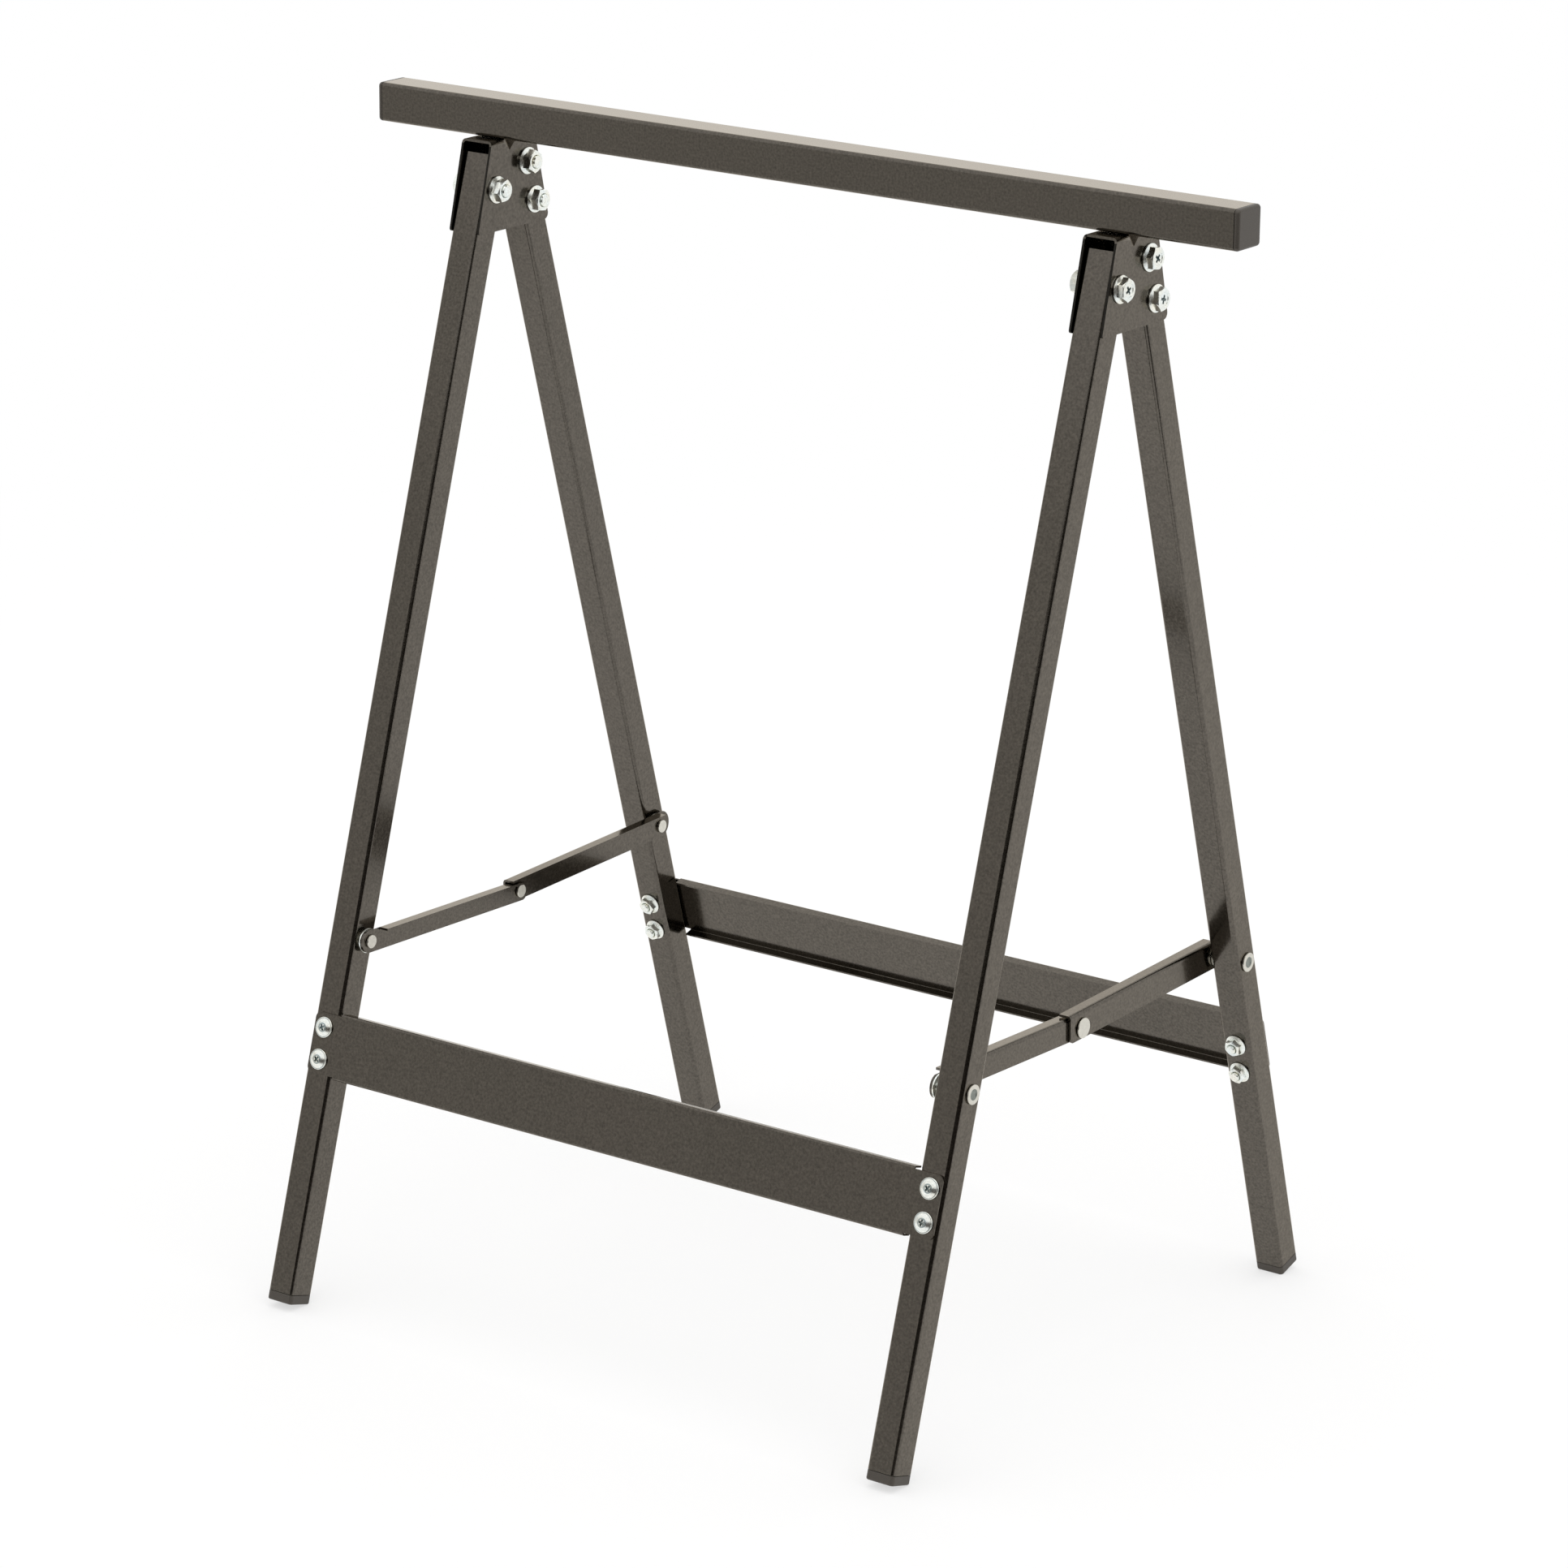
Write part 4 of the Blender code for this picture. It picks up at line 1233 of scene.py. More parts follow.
@dataclass
class Bracket:
    """The bent sheet brackets under the beam, each with its pivot bolt and two fixed bolts."""

    legs_middle: float = 234.5 * MM
    half: float = 11.9 * MM
    sheet: float = 1.6 * MM
    bend: float = 3 * MM
    top: float = 724.7 * MM
    bottom: float = 667.011 * MM
    wide: float = 35.805 * MM
    narrow: float = 21.68 * MM
    front_round: float = 2.5 * MM
    rear_round: float = 5 * MM
    dart_width: float = 17 * MM
    dart_length: float = 7.6 * MM
    dart_depth: float = 3.4 * MM
    dart_forward: float = 4 * MM
    hole: float = 4.35 * MM
    seat: float = 12.2 * MM
    edge: float = 0.55 * MM
    dark_depth: float = 0.8 * MM
    dark_facing: float = 0.5
    spin: Spin = (17, 23, 11)
    bolts: dict[str, Level] = field(default_factory=lambda: {
        "pivot": (-17.522 * MM, 693.811 * MM),
        "upper": (13.441 * MM, 707.725 * MM),
        "lower": (21.042 * MM, 681.817 * MM),
    })
    nut: FlangeNut = FlangeNut(
        4 * MM, FlangedHexagon(13 * MM, 8.6 * MM, 1.4 * MM, 7.4 * MM, 1.105 * MM, 0.47))
    body: str = Frame.REAR.value

    def build(self) -> None:
        """Models one bracket, one bolt and one nut, and places their copies."""
        sheet, bolt = self.bent_sheet(), FlangeBolt().build("bracket_bolt")
        nut = self.nut.build("bracket_nut")
        for side in Side:
            way, middle = side.value, side.value * self.legs_middle
            placed = sheet.copy(f"bent_bracket_{side.word}").put(Matrix.Translation((middle, 0, 0)))
            placed.dress(PAINT, self.body, f"bracket_{side.word}", smooth=40)
            for number, (kind, (y, z)) in enumerate(self.bolts.items()):
                spin = spun(self.spin, number, way)
                outside = across(way, (way * (self.legs_middle + self.seat), y, z)) @ spin
                inside = across(-way, (way * (self.legs_middle - self.seat), y, z)) @ spin
                placed = bolt.copy(f"{kind}_flange_bolt_{side.word}").put(outside)
                placed.dress(ZINC, self.body, f"{kind}_bolt_{side.word}")
                placed = nut.copy(f"{kind}_flange_nut_{side.word}").put(inside)
                placed.dress(ZINC, self.body, f"{kind}_nut_{side.word}")
        for pattern in (sheet, bolt, nut):
            pattern.remove()

    def bent_sheet(self) -> Piece:
        """Models a bracket about x = 0: a tapered box opened at its front, back and foot, bent and walled.

        Returns:
            The bracket.
        """
        ridge, foot = self.top - MM, self.bottom + MM
        low, high = (-self.half, -self.wide, self.bottom), (self.half, self.wide, self.top)
        piece = Piece.block("bracket_sheet", low, high)
        piece.points(lambda point: point.z > ridge).widen((1, self.narrow / self.wide, 1))
        piece.faces(lambda centre, normal: abs(normal.y) > FACING or normal.z < -FACING).open_up()
        piece.edges(lambda a, b: min(a.z, b.z) > ridge and abs(a.y - b.y) > MM).round_edges(self.bend, 8)
        piece.points(lambda point: point.z < foot and point.y < 0).round_corners(self.front_round, 5)
        piece.points(lambda point: point.z < foot and point.y > 0).round_corners(self.rear_round, 8)
        piece.wall(self.sheet)
        for side in Side:
            self.press_dart(piece, side.value)
        for y, z in self.bolts.values():
            drill = Piece.barrel("drill", self.hole, -2 * self.half, 2 * self.half)
            piece.combine(drill.put(across(1, (0, y, z))))
        piece.soften(self.edge, 4, 26)
        # The cheeks' front edges get EDGE, painted shade for the dark gap between cheek and leg.
        return piece.paint_faces(PAINT, EDGE, self.on_front_edge)

    def on_front_edge(self, centre: Vector, normal: Vector) -> bool:
        """True for the faces of the cheeks' front edges, which get painted shade for the dark gap beside the
        leg.

        Args:
            centre: The face's centre.
            normal: The face's normal.

        Returns:
            True if the face is one of them.
        """
        down = (self.top - centre.z) / (self.top - self.bottom)
        behind = centre.y + self.narrow + (self.wide - self.narrow) * down
        return normal.y < -self.dark_facing and behind < self.dark_depth and centre.z < self.top - self.bend

    def press_dart(self, piece: Piece, way: int) -> None:
        """Presses a V dart into the top bend of one cheek.

        Args:
            piece: The bent sheet.
            way: The cheek's direction along X.
        """
        dent_top, tip = self.top + 1 * MM, self.top - self.dart_length
        bump = self.dart("bump", way, self.half - self.sheet, self.top - self.sheet / 2, tip)
        dent = self.dart("dent", way, self.half, dent_top, tip)
        piece.combine(bump, Cut.TOGETHER).combine(dent)

    def dart(self, name: str, way: int, face: float, top: float, tip: float) -> Piece:
        """A four-sided spike, point down, that gives the dart's shape.

        Args:
            name: The piece's name.
            way: The cheek's direction along X.
            face: How far out the pressed face is.
            top: The height of the spike's base.
            tip: The height of its point.

        Returns:
            The spike.
        """
        spike = Piece.barrel(name, 1.0, tip, top, 4)
        spike.points(lambda point: point.z < tip + TOUCH).widen((0.001, 0.001, 1), (0, 0, tip))
        bpy.ops.mesh.merge(type="CENTER")
        grow = Matrix.Diagonal((self.dart_depth, self.dart_width / 2, 1, 1))
        return spike.put(Matrix.Translation((way * face, -self.dart_forward, 0)) @ grow)


@dataclass
class LegFrame:
    """A pair of square legs with their feet, their rail and its screws, in the frame's own axes."""

    kind: Frame
    above: float
    bolt_levels: tuple[float, ...]
    tilt: float = math.radians(16.35)
    pivot_out: float = 17.522 * MM
    pivot_height: float = 693.811 * MM
    middle: float = 234.5 * MM
    size: float = 20 * MM
    wall: float = 1.2 * MM
    corner: float = 2.5 * MM
    below: float = 720.4705 * MM
    foot_thickness: float = 6 * MM
    foot_plug: float = 18 * MM
    rail_level: float = -552.07 * MM
    rail_height: float = 42.5 * MM
    rail_sheet: float = 1.2 * MM
    rail_flange: float = 7 * MM
    rail_bend: float = 1.6 * MM
    rail_end: float = 242.8 * MM
    rail_step: float = 221.5 * MM
    rail_tab: float = 19.55 * MM
    rail_round: float = 4 * MM
    screw_spacing: float = 20.7 * MM
    brace_level: float = -482.57 * MM
    bolt_hole: float = 4.35 * MM
    screw_hole: float = 3.35 * MM
    rivet_hole: float = 3.15 * MM
    leg_edge: float = 0.2 * MM
    rail_edge: float = 0.38 * MM
    spin: Spin = (38, 27, 13)
    nut: FlangeNut = FlangeNut(
        3 * MM, FlangedHexagon(10 * MM, 7 * MM, 1.1 * MM, 5.6 * MM, 0.85 * MM, 0.47))

    @property
    def way(self) -> int:
        """1 for the rear frame, and -1 for the front frame, whose axes are turned about."""
        return 1 if self.kind is Frame.REAR else -1

    @property
    def place(self) -> Matrix:
        """Where the frame's axes are in the trestle."""
        turn = Matrix() if self.kind is Frame.REAR else Matrix.Rotation(math.pi, 4, "Z")
        lean = Matrix.Rotation(self.tilt, 4, "X")
        return Matrix.Translation((0, self.way * self.pivot_out, self.pivot_height)) @ turn @ lean

    @property
    def screw_levels(self) -> dict[str, float]:
        """The heights of the two screws up the leg, by their words."""
        half = self.screw_spacing / 2
        return {"upper": self.rail_level + half, "lower": self.rail_level - half}

    @property
    def foot_end(self) -> float:
        """The height of the tube's lower end."""
        return self.foot_thickness + GAP - self.below

    def build(self) -> None:
        """Models one of each piece and places its copies on both sides."""
        leg, rail = self.leg(), self.rail()
        foot = Cap(self.size, self.foot_thickness, self.foot_plug, self.wall, self.corner).build("foot")
        screw, nut = PanScrew().build("rail_screw"), self.nut.build("rail_nut")
        word, body = self.kind.word, self.kind.value
        rail.put(self.place).dress(PAINT, body, f"{word}_rail", smooth=40)
        for side in Side:
            here = self.place @ Matrix.Translation((side.value * self.middle * self.way, 0, 0))
            seat = here @ Matrix.Translation((0, 0, self.foot_end))
            placed = leg.copy(f"{word}_leg_tube_{side.word}").put(here)
            placed.dress(PAINT, body, f"{word}_leg_{side.word}")
            placed = foot.copy(f"{word}_leg_foot_{side.word}").put(seat)
            placed.dress(PLASTIC, body, f"{word}_foot_{side.word}")
            self.add_screws(side, here, screw, nut)
        for pattern in (leg, foot, screw, nut):
            pattern.remove()

    def add_screws(self, side: Side, here: Matrix, screw: Piece, nut: Piece) -> None:
        """Places the rail's screws and nuts on one leg.

        Args:
            side: The leg's side.
            here: Where the leg is.
            screw: The pattern of the screw.
            nut: The pattern of the nut.
        """
        web_seat = self.size / 2 + GAP + self.rail_sheet + GAP
        outwards = Matrix.Rotation(-math.pi / 2, 4, "X")
        inwards = Matrix.Rotation(math.pi / 2, 4, "X")
        word, body = self.kind.word, self.kind.value
        for number, (row, level) in enumerate(self.screw_levels.items()):
            spin = spun(self.spin, number, side.value)
            out = here @ Matrix.Translation((0, web_seat, level)) @ outwards @ spin
            back = here @ Matrix.Translation((0, -self.size / 2 - GAP, level)) @ inwards @ spin
            placed = screw.copy(f"{word}_pan_screw_{row}_{side.word}").put(out)
            placed.dress(ZINC, body, f"{word}_screw_{row}_{side.word}")
            placed = nut.copy(f"{word}_flange_nut_{row}_{side.word}").put(back)
            placed.dress(ZINC, body, f"{word}_rail_nut_{row}_{side.word}")

    def leg(self) -> Piece:
        """Models a leg tube about its own axis, drilled for its bolts, its brace rivet and its screws.

        Returns:
            The tube.
        """
        half = self.size / 2
        tube = Piece.block("leg_tube", (-half, -half, self.foot_end), (half, half, self.above))
        tube.edges(lambda a, b: abs(a.z - b.z) > self.size).round_edges(self.corner, 8)
        tube.faces(lambda centre, normal: abs(normal.z) > FACING).open_up()
        tube.wall(self.wall)
        drills = [("Y", level, self.bolt_hole) for level in self.bolt_levels]
        drills.append(("Y", self.brace_level, self.rivet_hole))
        drills += [("X", level, self.screw_hole) for level in self.screw_levels.values()]
        for axis, level, radius in drills:
            drill = Piece.barrel("drill", radius, -self.size, self.size, 40)
            turn = Matrix.Rotation(math.pi / 2, 4, axis)
            tube.combine(drill.put(Matrix.Translation((0, 0, level)) @ turn))
        return tube.soften(self.leg_edge, 2, 50)

    def rail(self) -> Piece:
        """Models the C-channel rail: bent flanges between the legs and a rounded tab over each leg.

        Returns:
            The rail.
        """
        out = self.size / 2 + GAP + self.rail_sheet
        half = self.rail_height / 2
        low = (-self.rail_end, out - self.rail_flange, self.rail_level - half)
        high = (self.rail_end, out, self.rail_level + half)
        rail = Piece.block(f"{self.kind.word}_rail_channel", low, high)
        rail.faces(lambda centre, normal: abs(normal.x) > FACING or normal.y < -FACING).open_up()
        rail.edges(lambda a, b: min(a.y, b.y) > out - TOUCH and abs(a.x - b.x) > MM)
        rail.round_edges(self.rail_bend, 8).wall(self.rail_sheet)
        ends = [side.value for side in Side]
        for x_way, z_way in ((x_way, z_way) for x_way in ends for z_way in ends):
            near = (x_way * self.rail_step, -self.size, self.rail_level + z_way * self.rail_tab)
            beyond = x_way * (self.rail_end + 5 * MM)
            far = (beyond, 2 * self.size, self.rail_level + z_way * self.rail_height)
            corners = [[end(a, b) for a, b in zip(near, far)] for end in (min, max)]
            rail.combine(Piece.block("notch", *corners))
        rail.edges(self.tab_corner).round_edges(self.rail_round, 8)
        for x_way, level in ((x_way, level) for x_way in ends for level in self.screw_levels.values()):
            drill = Piece.barrel("drill", self.screw_hole, -self.size, self.size, 32)
            seat = Matrix.Translation((x_way * self.middle, out, level))
            rail.combine(drill.put(seat @ Matrix.Rotation(math.pi / 2, 4, "X")))
        return rail.soften(self.rail_edge, 3, 40)

    def tab_corner(self, a: Vector, b: Vector) -> bool:
        """True for the short edges at the rail's four tab corners.

        Args:
            a: One end of the edge.
            b: Its other end.

        Returns:
            True if the edge is one of them.
        """
        at_end = min(abs(a.x), abs(b.x)) > self.rail_end - TOUCH
        levels = [abs(abs(point.z - self.rail_level) - self.rail_tab) < TOUCH for point in (a, b)]
        return at_end and all(levels) and abs(a.y - b.y) > self.rail_sheet / 2


@dataclass
class Link:
    """An L-section link of a brace, drawn for the right-hand side with its outer face at x = 0."""

    height: float
    top: float
    front: float
    rear: float
    rounds: tuple[float, float, float, float]
    flange_from: float | None
    flange_to: float
    holes: tuple[Level, ...]
    sheet: float = 1.5 * MM
    bend: float = 2.5 * MM
    flange: float = 8.5 * MM
    hole: float = 3.15 * MM
    spare: float = 5 * MM
    edge: float = 0.45 * MM

    def build(self, name: str) -> Piece:
        """Models the link, which runs along Y with its flange at the top pointing to -X.

        Args:
            name: The piece's name.

        Returns:
            The link.
        """
        start, stop = self.front - self.spare, self.rear + self.spare
        low = self.top - self.height - self.spare
        bar = Piece.block(name, (-self.flange, start, low), (0, stop, self.top))
        bar.faces(lambda centre, normal: (
            abs(normal.y) > FACING or normal.z < -FACING or normal.x < -FACING)).open_up()
        bar.edges(lambda a, b: min(a.x, b.x) > -TOUCH and min(a.z, b.z) > self.top - TOUCH)
        bar.round_edges(self.bend, 8).wall(self.sheet).combine(self.blank(), Cut.SHARED)
        trims = [] if self.flange_from is None else [(start, self.flange_from)]
        for first, last in trims + [(self.flange_to, stop)]:
            high = (-self.sheet, last, self.top + self.spare)
            bar.combine(Piece.block("trim", (-2 * self.flange, first, low), high))
        for y, z in self.holes:
            drill = Piece.barrel("drill", self.hole, -2 * self.flange, 2 * self.flange, 32)
            bar.combine(drill.put(across(1, (0, y, z))))
        return bar.soften(self.edge, 3, 40)

    def blank(self) -> Piece:
        """Models the link's outline through its whole depth, with its rounded ends.

        Returns:
            The blank.
        """
        low, high = self.top - self.height, self.top + 0.1 * MM
        blank = Piece.block("blank", (-4 * self.flange, self.front, low), (self.flange, self.rear, high))
        corners = ((self.front, high), (self.front, low), (self.rear, low), (self.rear, high))
        for (y, z), radius in zip(corners, self.rounds):
            if radius:
                blank.edges(lambda a, b, y=y, z=z: all(
                    abs(point.y - y) < TOUCH and abs(point.z - z) < TOUCH for point in (a, b)))
                blank.round_edges(radius, 14)
        return blank


@dataclass
class Brace:
    """A folding brace: a rear and a front link that nest, with their rivets, washer and spacer."""

    front_rivet: tuple[float, float] = (-153.368 * MM, 230.757 * MM)
    middle_rivet: tuple[float, float] = (-1.2 * MM, 225.257 * MM)
    rear_rivet: tuple[float, float] = (153.368 * MM, 230.757 * MM)
    legs_outer: float = 244.5 * MM
    rear_x: float = 222.4 * MM
    front_x: float = 220.6 * MM
    sheet: float = 1.5 * MM
    rear_height: float = 18 * MM
    front_height: float = 15.2 * MM
    hole_low: float = 1.2 * MM
    hole_drop: float = 0.8 * MM
    overrun: float = 13 * MM
    rear_round: float = 3 * MM
    tail_round: float = 7.2 * MM
    tail_low_round: float = 4.3 * MM
    rear_flange_end: float = 3.3 * MM
    front_flange_start: float = 8.8 * MM
    front_flange_end: float = 4 * MM
    washer: float = 8 * MM
    washer_height: float = 1.5 * MM
    spacer_height: float = 3.3 * MM
    spacer_disc: float = 1.1 * MM
    spacer_hub: float = 5.2 * MM
    ring_edge: float = 0.2 * MM
    button: float = 6.5 * MM
    button_height: float = 1.2 * MM
    rivet: Rivet = Rivet()

    @property
    def sag(self) -> float:
        """How far the middle rivet is below the rivets at the legs."""
        return self.rear_rivet[1] - self.middle_rivet[1]

    def span(self, end: tuple[float, float]) -> float:
        """The distance from the middle rivet to one of the end rivets."""
        return math.dist(self.middle_rivet, end)

    def slope(self, length: float, drop: float) -> float:
        """How steeply a link lies.

        Args:
            length: The distance between its rivets.
            drop: How far its holes are out of line.

        Returns:
            The angle in radians.
        """
        return math.asin(self.sag / length) - math.asin(drop / length)

    @property
    def rear_slope(self) -> float:
        """How steeply the rear link lies."""
        return self.slope(self.span(self.rear_rivet), self.hole_drop)

    @property
    def front_drop(self) -> float:
        """How far the front link's middle hole is below its middle line, so that the links meet."""
        fall = self.overrun * (math.sin(self.rear_slope) + self.sag / self.span(self.front_rivet))
        rear_top = self.rear_height / 2 + self.hole_low + self.hole_drop
        return rear_top - self.sheet - 2 * GAP - fall - self.front_height / 2

    def rear_link(self) -> Piece:
        """Models the rear link, from its rear rivet at the origin forwards past the middle rivet.

        Returns:
            The link.
        """
        half = self.rear_height / 2
        along = math.sqrt(self.span(self.rear_rivet) ** 2 - self.hole_drop ** 2)
        link = Link(
            height=self.rear_height, top=half + self.hole_low, front=-(along + self.overrun), rear=half,
            rounds=(0, self.rear_round, half * NEARLY, half * NEARLY), flange_from=None,
            flange_to=-self.rear_flange_end, holes=((0, 0), (-along, -self.hole_drop)))
        return link.build("rear_link_sheet")

    def front_link(self) -> Piece:
        """Models the front link, from its middle rivet at the origin forwards to its front rivet.

        Returns:
            The link.
        """
        half, drop = self.front_height / 2, self.front_drop
        along = math.sqrt(self.span(self.front_rivet) ** 2 - drop ** 2)
        tail = (self.tail_low_round, self.tail_round * NEARLY)
        link = Link(
            height=self.front_height, top=half + drop, front=-(along + half), rear=self.tail_round,
            rounds=(half * NEARLY, half * NEARLY, *tail), flange_from=self.front_flange_start - along,
            flange_to=-self.front_flange_end, holes=((0, 0), (-along, drop)))
        return link.build("front_link_sheet")

    def ring(self, name: str, plate: float, hub: Sequence[Level] = ()) -> Piece:
        """A drilled ring that seats at z = 0: the rear washer, or the front spacer with its hub.

        Args:
            name: The piece's name.
            plate: The height of its widest part.
            hub: The radius and height of each step above it.

        Returns:
            The ring.
        """
        ring = turned(name, (self.washer, 0, plate), hub)
        height = hub[-1][1] if hub else plate
        ring.combine(Piece.barrel("drill", self.rivet.radius + GAP, -1 * MM, 2 * height, 32))
        return ring.soften(self.ring_edge, 2, 40)

    def patterns(self) -> dict[str, Piece]:
        """Models one of each piece of a brace.

        Returns:
            The pieces by the names of their nodes.
        """
        rear_grip = self.legs_outer - self.rear_x + self.sheet + 2 * GAP
        front_grip = self.legs_outer - self.front_x
        links_grip = 2 * self.sheet + 3 * GAP
        hub = [(self.spacer_hub, self.spacer_disc), (self.spacer_hub, self.spacer_height)]
        button = (self.button, self.button_height)
        return {
            "rear_link": self.rear_link(),
            "front_link": self.front_link(),
            "rear_rivet": self.rivet.pressed("rear_rivet_pattern", rear_grip, True),
            "front_rivet": self.rivet.pressed("front_rivet_pattern", front_grip, False),
            "middle_rivet": self.rivet.plain("middle_rivet_pattern", *button, links_grip),
            "front_rivet_head": self.rivet.stub("rivet_head_pattern", self.sheet + GAP),
            "rear_washer": self.ring("washer_pattern", self.washer_height),
            "front_spacer": self.ring("spacer_pattern", self.spacer_disc, hub),
        }

    def build(self) -> None:
        """Models one of each piece and places its copies on both sides."""
        patterns = self.patterns()
        for side in Side:
            self.add_links(side, patterns)
            self.add_rivets(side, patterns)
        for pattern in patterns.values():
            pattern.remove()

    def add_links(self, side: Side, patterns: Mapping[str, Piece]) -> None:
        """Places one brace's two links, which are mirrored on the left.

        Args:
            side: The brace's side.
            patterns: The patterns by node.
        """
        way = side.value
        front_slope = -self.slope(self.span(self.front_rivet), self.front_drop)
        for kind, slope, place in (("rear", self.rear_slope, (way * self.rear_x, *self.rear_rivet)),
                                   ("front", front_slope, (way * self.front_x, *self.middle_rivet))):
            lie = Matrix.Rotation(slope, 4, "X") @ Matrix.Diagonal((way, 1, 1, 1))
            placed = patterns[f"{kind}_link"].copy(f"{kind}_brace_link_{side.word}")
            placed.put(Matrix.Translation(place) @ lie)
            placed.dress(PAINT, f"{kind}_link_group_{side.word}", f"{kind}_link_{side.word}", smooth=40)

    def add_rivets(self, side: Side, patterns: Mapping[str, Piece]) -> None:
        """Places one brace's rivets, washer and spacer.

        Args:
            side: The brace's side.
            patterns: The patterns by node.
        """
        tail = self.legs_outer + GAP
        rear_body, front_body = f"rear_link_group_{side.word}", f"front_link_group_{side.word}"
        places = {
            "rear_rivet": (RIVET, Frame.REAR.value, tail, self.rear_rivet),
            "rear_washer": (ZINC, Frame.REAR.value, self.rear_x + GAP, self.rear_rivet),
            "middle_rivet": (RIVET, rear_body, self.rear_x + GAP, self.middle_rivet),
            "front_rivet": (RIVET, Frame.FRONT.value, tail, self.front_rivet),
            "front_spacer": (ZINC, Frame.FRONT.value, self.front_x + GAP, self.front_rivet),
            "front_rivet_head": (RIVET, front_body, self.front_x - self.sheet - GAP, self.front_rivet),
        }
        for kind, (finish, body, x, (y, z)) in places.items():
            placed = patterns[kind].copy(f"{kind}_piece_{side.word}")
            placed.put(across(side.value, (side.value * x, y, z))).dress(finish, body, f"{kind}_{side.word}")


# Studio


@dataclass
class Softbox:
    """A square lamp that points at the trestle."""

    name: str
    place: Place
    size: float
    power: float
    tint: Colour = (1.0, 0.965, 0.91)

    def build(self, target: Vector) -> None:
        """Hangs the lamp.

        Args:
            target: The point that it faces.
        """
        Piece.deselect()
        bpy.ops.object.light_add(type="AREA", location=self.place)
        lamp = bpy.context.view_layer.objects.active
        lamp.name = self.name
        lamp.data.shape = "SQUARE"
        lamp.data.size = self.size
        lamp.data.energy = self.power
        lamp.data.color = self.tint
        lamp.rotation_euler = (target - Vector(self.place)).to_track_quat("-Z", "Y").to_euler()
        lamp.visible_camera = False


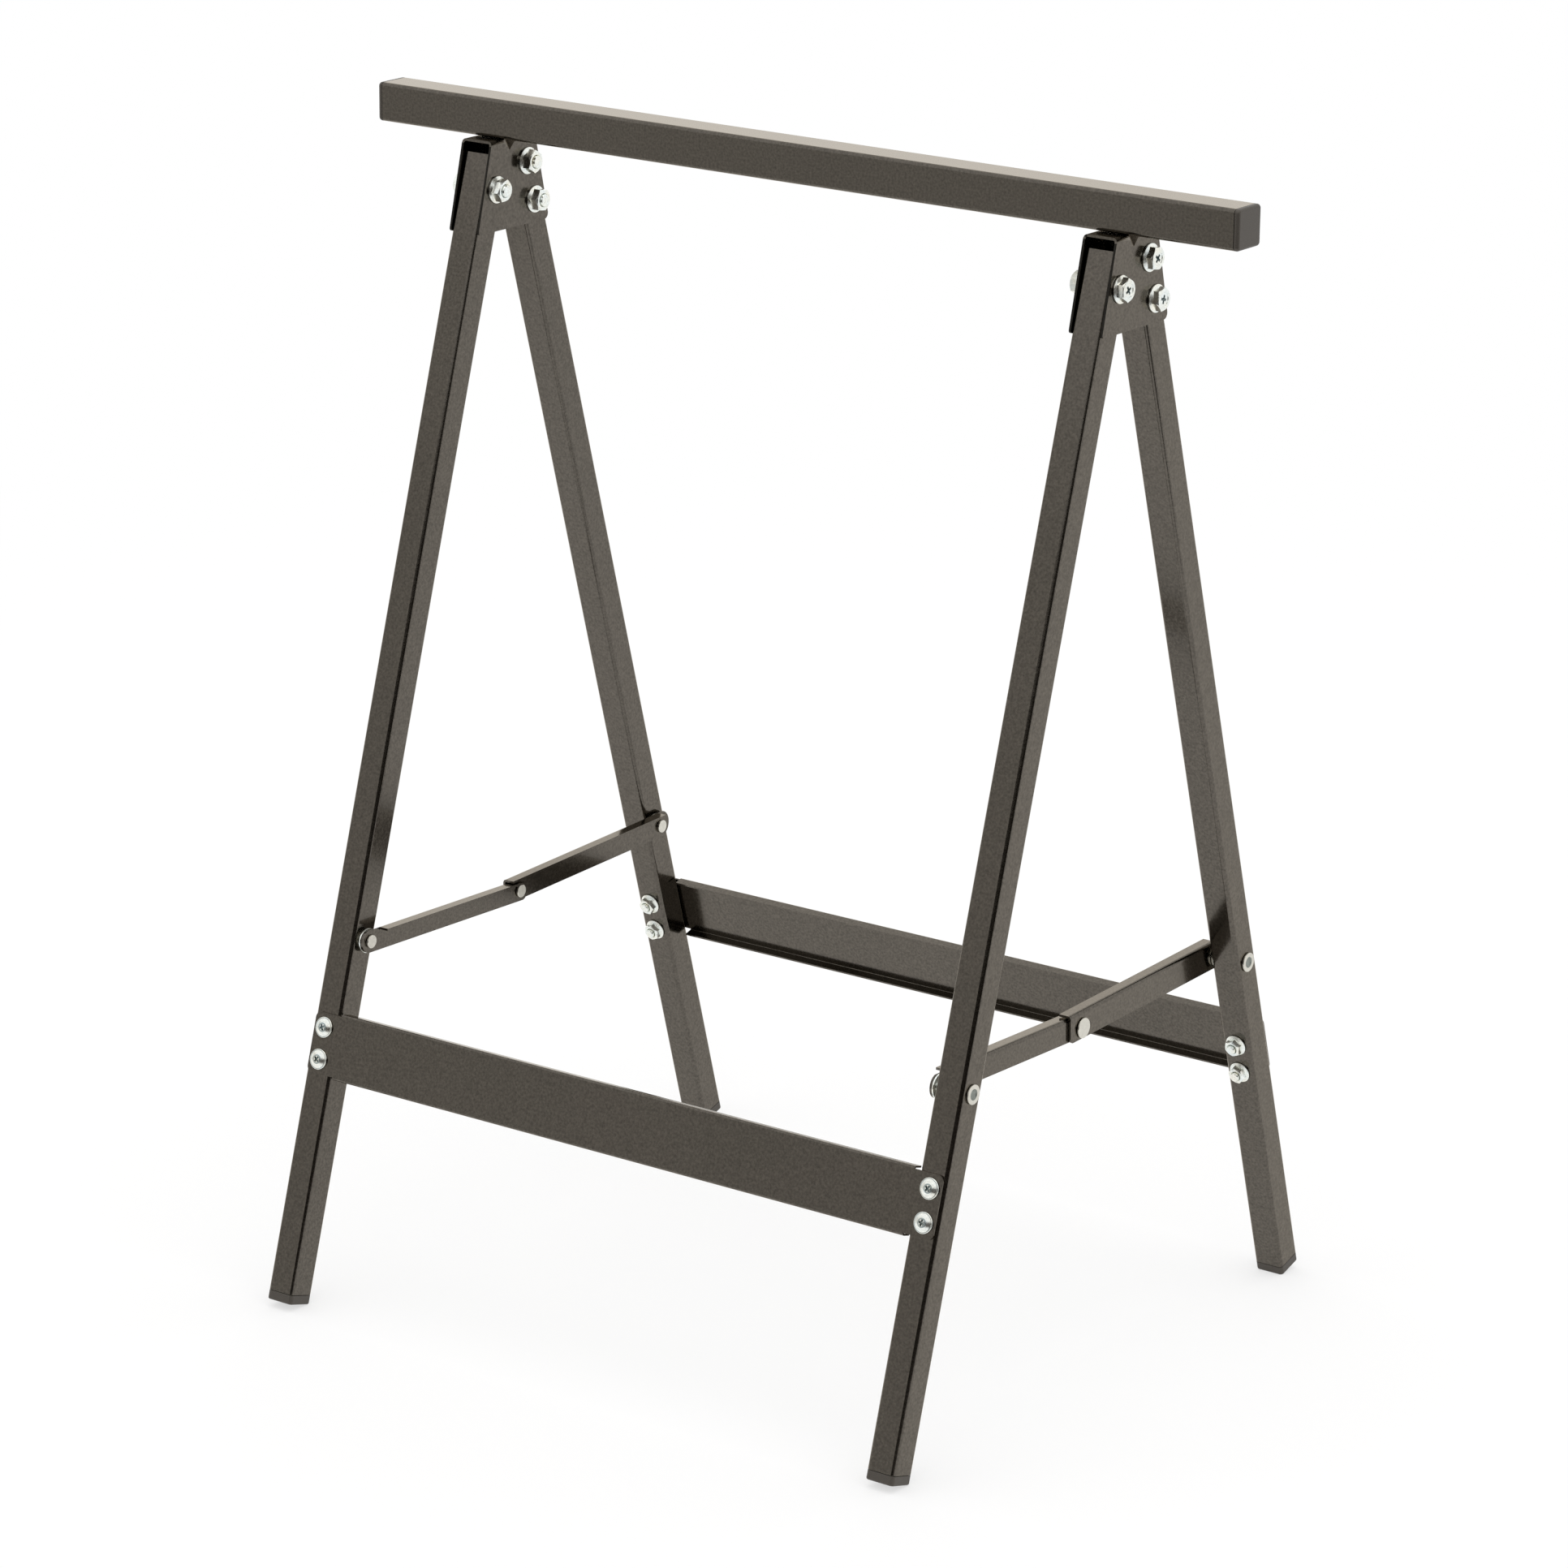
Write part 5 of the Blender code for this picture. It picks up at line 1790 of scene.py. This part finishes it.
@dataclass
class Studio:
    """A white floor and surround, soft lamps, two cards for reflections and the photograph's camera."""

    floor_size: float = 60.0
    floor_grey: Span = (0.95, 0.97)
    floor_scale: float = 3.0
    shadow_reach: Span = (0.6, 2.2)
    glow_share: Span = (0.6, 1.0)
    camera_place: Place = (2.105442, -2.904264, 1.443461)
    yaw: float = math.radians(36.027)
    pitch: float = math.radians(-17.108)
    roll: float = math.radians(0.542)
    focal: float = 7348.234
    picture: int = 1932
    sensor: float = 36.0
    clip: Span = (0.05, 100.0)
    softboxes: tuple[Softbox, ...] = (
        Softbox("top_softbox", (0.4, -0.3, 3.2), 2.0, 12.0),
        Softbox("back_softbox", (-2.6, 3.4, 1.9), 2.6, 4.5),
    )
    aim: Place = (0, 0, 0.45)
    card_distance: float = 4.6
    card_foot: float = 0.003
    card_height: float = 1.8
    card_near: float = 1.1
    card_sides: int = 180
    card_spread: float = math.radians(56)
    dark_tone: Colour = (0.058, 0.052, 0.046)
    grey_tone: Colour = (0.70, 0.69, 0.67)
    grey_end: float = math.radians(116)

    def build(self) -> None:
        """Sets the view, the floor, the surround, the cards, the lamps and the camera."""
        bpy.context.scene.view_settings.view_transform = "Standard"
        self.lay_floor()
        self.light_world()
        self.stand_card("dark_card", self.dark_tone, -self.card_spread, self.card_spread)
        self.stand_card("grey_card", self.grey_tone, self.card_spread, self.grey_end)
        for softbox in self.softboxes:
            softbox.build(Vector(self.aim))
        self.place_camera()

    def floor_surface(self, sheet: NodeSheet) -> Signal:
        """Makes the floor's shader, which glows white to the eye, but less where the shadow lies.

        Args:
            sheet: The sheet of nodes.

        Returns:
            The shader.
        """
        where = own_place(sheet)
        grey = sheet.between(sheet.noise(where, self.floor_scale), self.floor_grey)
        shade = sheet.add("ShaderNodeCombineColor", None, {"Red": grey, "Green": grey, "Blue": grey})
        paper = sheet.add("ShaderNodeBsdfDiffuse", None, {"Color": shade})
        glow = sheet.add("ShaderNodeEmission", None, {"Color": (1, 1, 1, 1), "Strength": 1.0})
        camera, glossy, through = (sheet.add("ShaderNodeLightPath", output=f"Is {kind} Ray")
                                   for kind in ("Camera", "Glossy", "Transmission"))
        seen = sheet.add("ShaderNodeClamp", None, {"Value": camera + glossy + through})
        reach = sheet.add("ShaderNodeVectorMath", {"operation": "LENGTH"}, {0: where}, output="Value")
        share = seen * sheet.between(reach, self.glow_share, self.shadow_reach)
        return sheet.add("ShaderNodeMixShader", None, {0: share, 1: paper, 2: glow})

    def lay_floor(self) -> None:
        """Lays a white floor that keeps the trestle's faint shadow."""
        Piece.deselect()
        bpy.ops.mesh.primitive_plane_add(size=self.floor_size, location=(0, 0, 0))
        floor = bpy.context.view_layer.objects.active
        floor.name = "studio_floor"
        floor.data.materials.append(new_material("white_floor", self.floor_surface))

    @staticmethod
    def light_world() -> None:
        """Lights the scene from all sides with plain white."""
        world = bpy.data.worlds.new("white_studio")
        bpy.context.scene.world = world
        sheet = NodeSheet(world)
        white = sheet.add("ShaderNodeBackground", None, {"Color": (1, 1, 1, 1), "Strength": 1.0})
        sheet.add("ShaderNodeOutputWorld", None, {"Surface": white})

    def stand_card(self, name: str, tone: Colour, first: float, last: float) -> None:
        """Bends a card round the trestle, upright and along the floor, which only reflections show.

        Args:
            name: The card's name.
            tone: Its colour.
            first: The angle from the camera's side where it starts.
            last: The angle where it ends.
        """
        towards = Vector((math.sin(self.yaw), -math.cos(self.yaw)))
        card = Piece.barrel(name, self.card_distance, self.card_foot, self.card_height, self.card_sides)
        card.faces(lambda centre, normal: normal.z > FACING).open_up()
        card.faces(lambda centre, normal: normal.z < -FACING).inset(self.card_distance - self.card_near)
        card.faces(lambda centre, normal: centre.to_2d().length < self.card_near / 2).open_up()
        card.faces(lambda centre, normal: not first < towards.angle_signed(centre.to_2d()) < last)
        card.open_up()
        Piece.deselect()
        shown = card.shown
        shown.data.materials.append(new_material(name, lambda sheet: sheet.add(
            "ShaderNodeEmission", None, {"Color": (*tone, 1), "Strength": 1.0})))
        shown.visible_camera = shown.visible_diffuse = shown.visible_shadow = False

    def place_camera(self) -> None:
        """Puts the camera where the photograph was taken from."""
        ahead = Vector((-math.sin(self.yaw) * math.cos(self.pitch),
                        math.cos(self.yaw) * math.cos(self.pitch), math.sin(self.pitch)))
        level = Vector((math.cos(self.yaw), math.sin(self.yaw), 0))
        upright = level.cross(ahead)
        right = level * math.cos(self.roll) + upright * math.sin(self.roll)
        up = upright * math.cos(self.roll) - level * math.sin(self.roll)
        Piece.deselect()
        bpy.ops.object.camera_add(location=self.camera_place)
        camera = bpy.context.view_layer.objects.active
        camera.name = "photo_camera"
        turn = Matrix((right, up, -ahead)).transposed().to_4x4()
        camera.matrix_world = Matrix.Translation(self.camera_place) @ turn
        camera.data.sensor_width = self.sensor
        camera.data.lens = self.sensor * self.focal / self.picture
        camera.data.clip_start, camera.data.clip_end = self.clip
        bpy.context.scene.camera = camera


def main() -> None:
    """Builds the trestle piece by piece, then the studio round it."""
    logging.basicConfig(level=logging.INFO, format="%(name)s: %(message)s")
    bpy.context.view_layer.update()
    Piece.deselect()
    Beam().build()
    Bracket().build()
    LegFrame(Frame.REAR, 24 * MM, (14.5 * MM, -12.5 * MM)).build()
    LegFrame(Frame.FRONT, 20.7 * MM, (0.0,)).build()
    Brace().build()
    Studio().build()


if __name__ == "__main__":
    main()
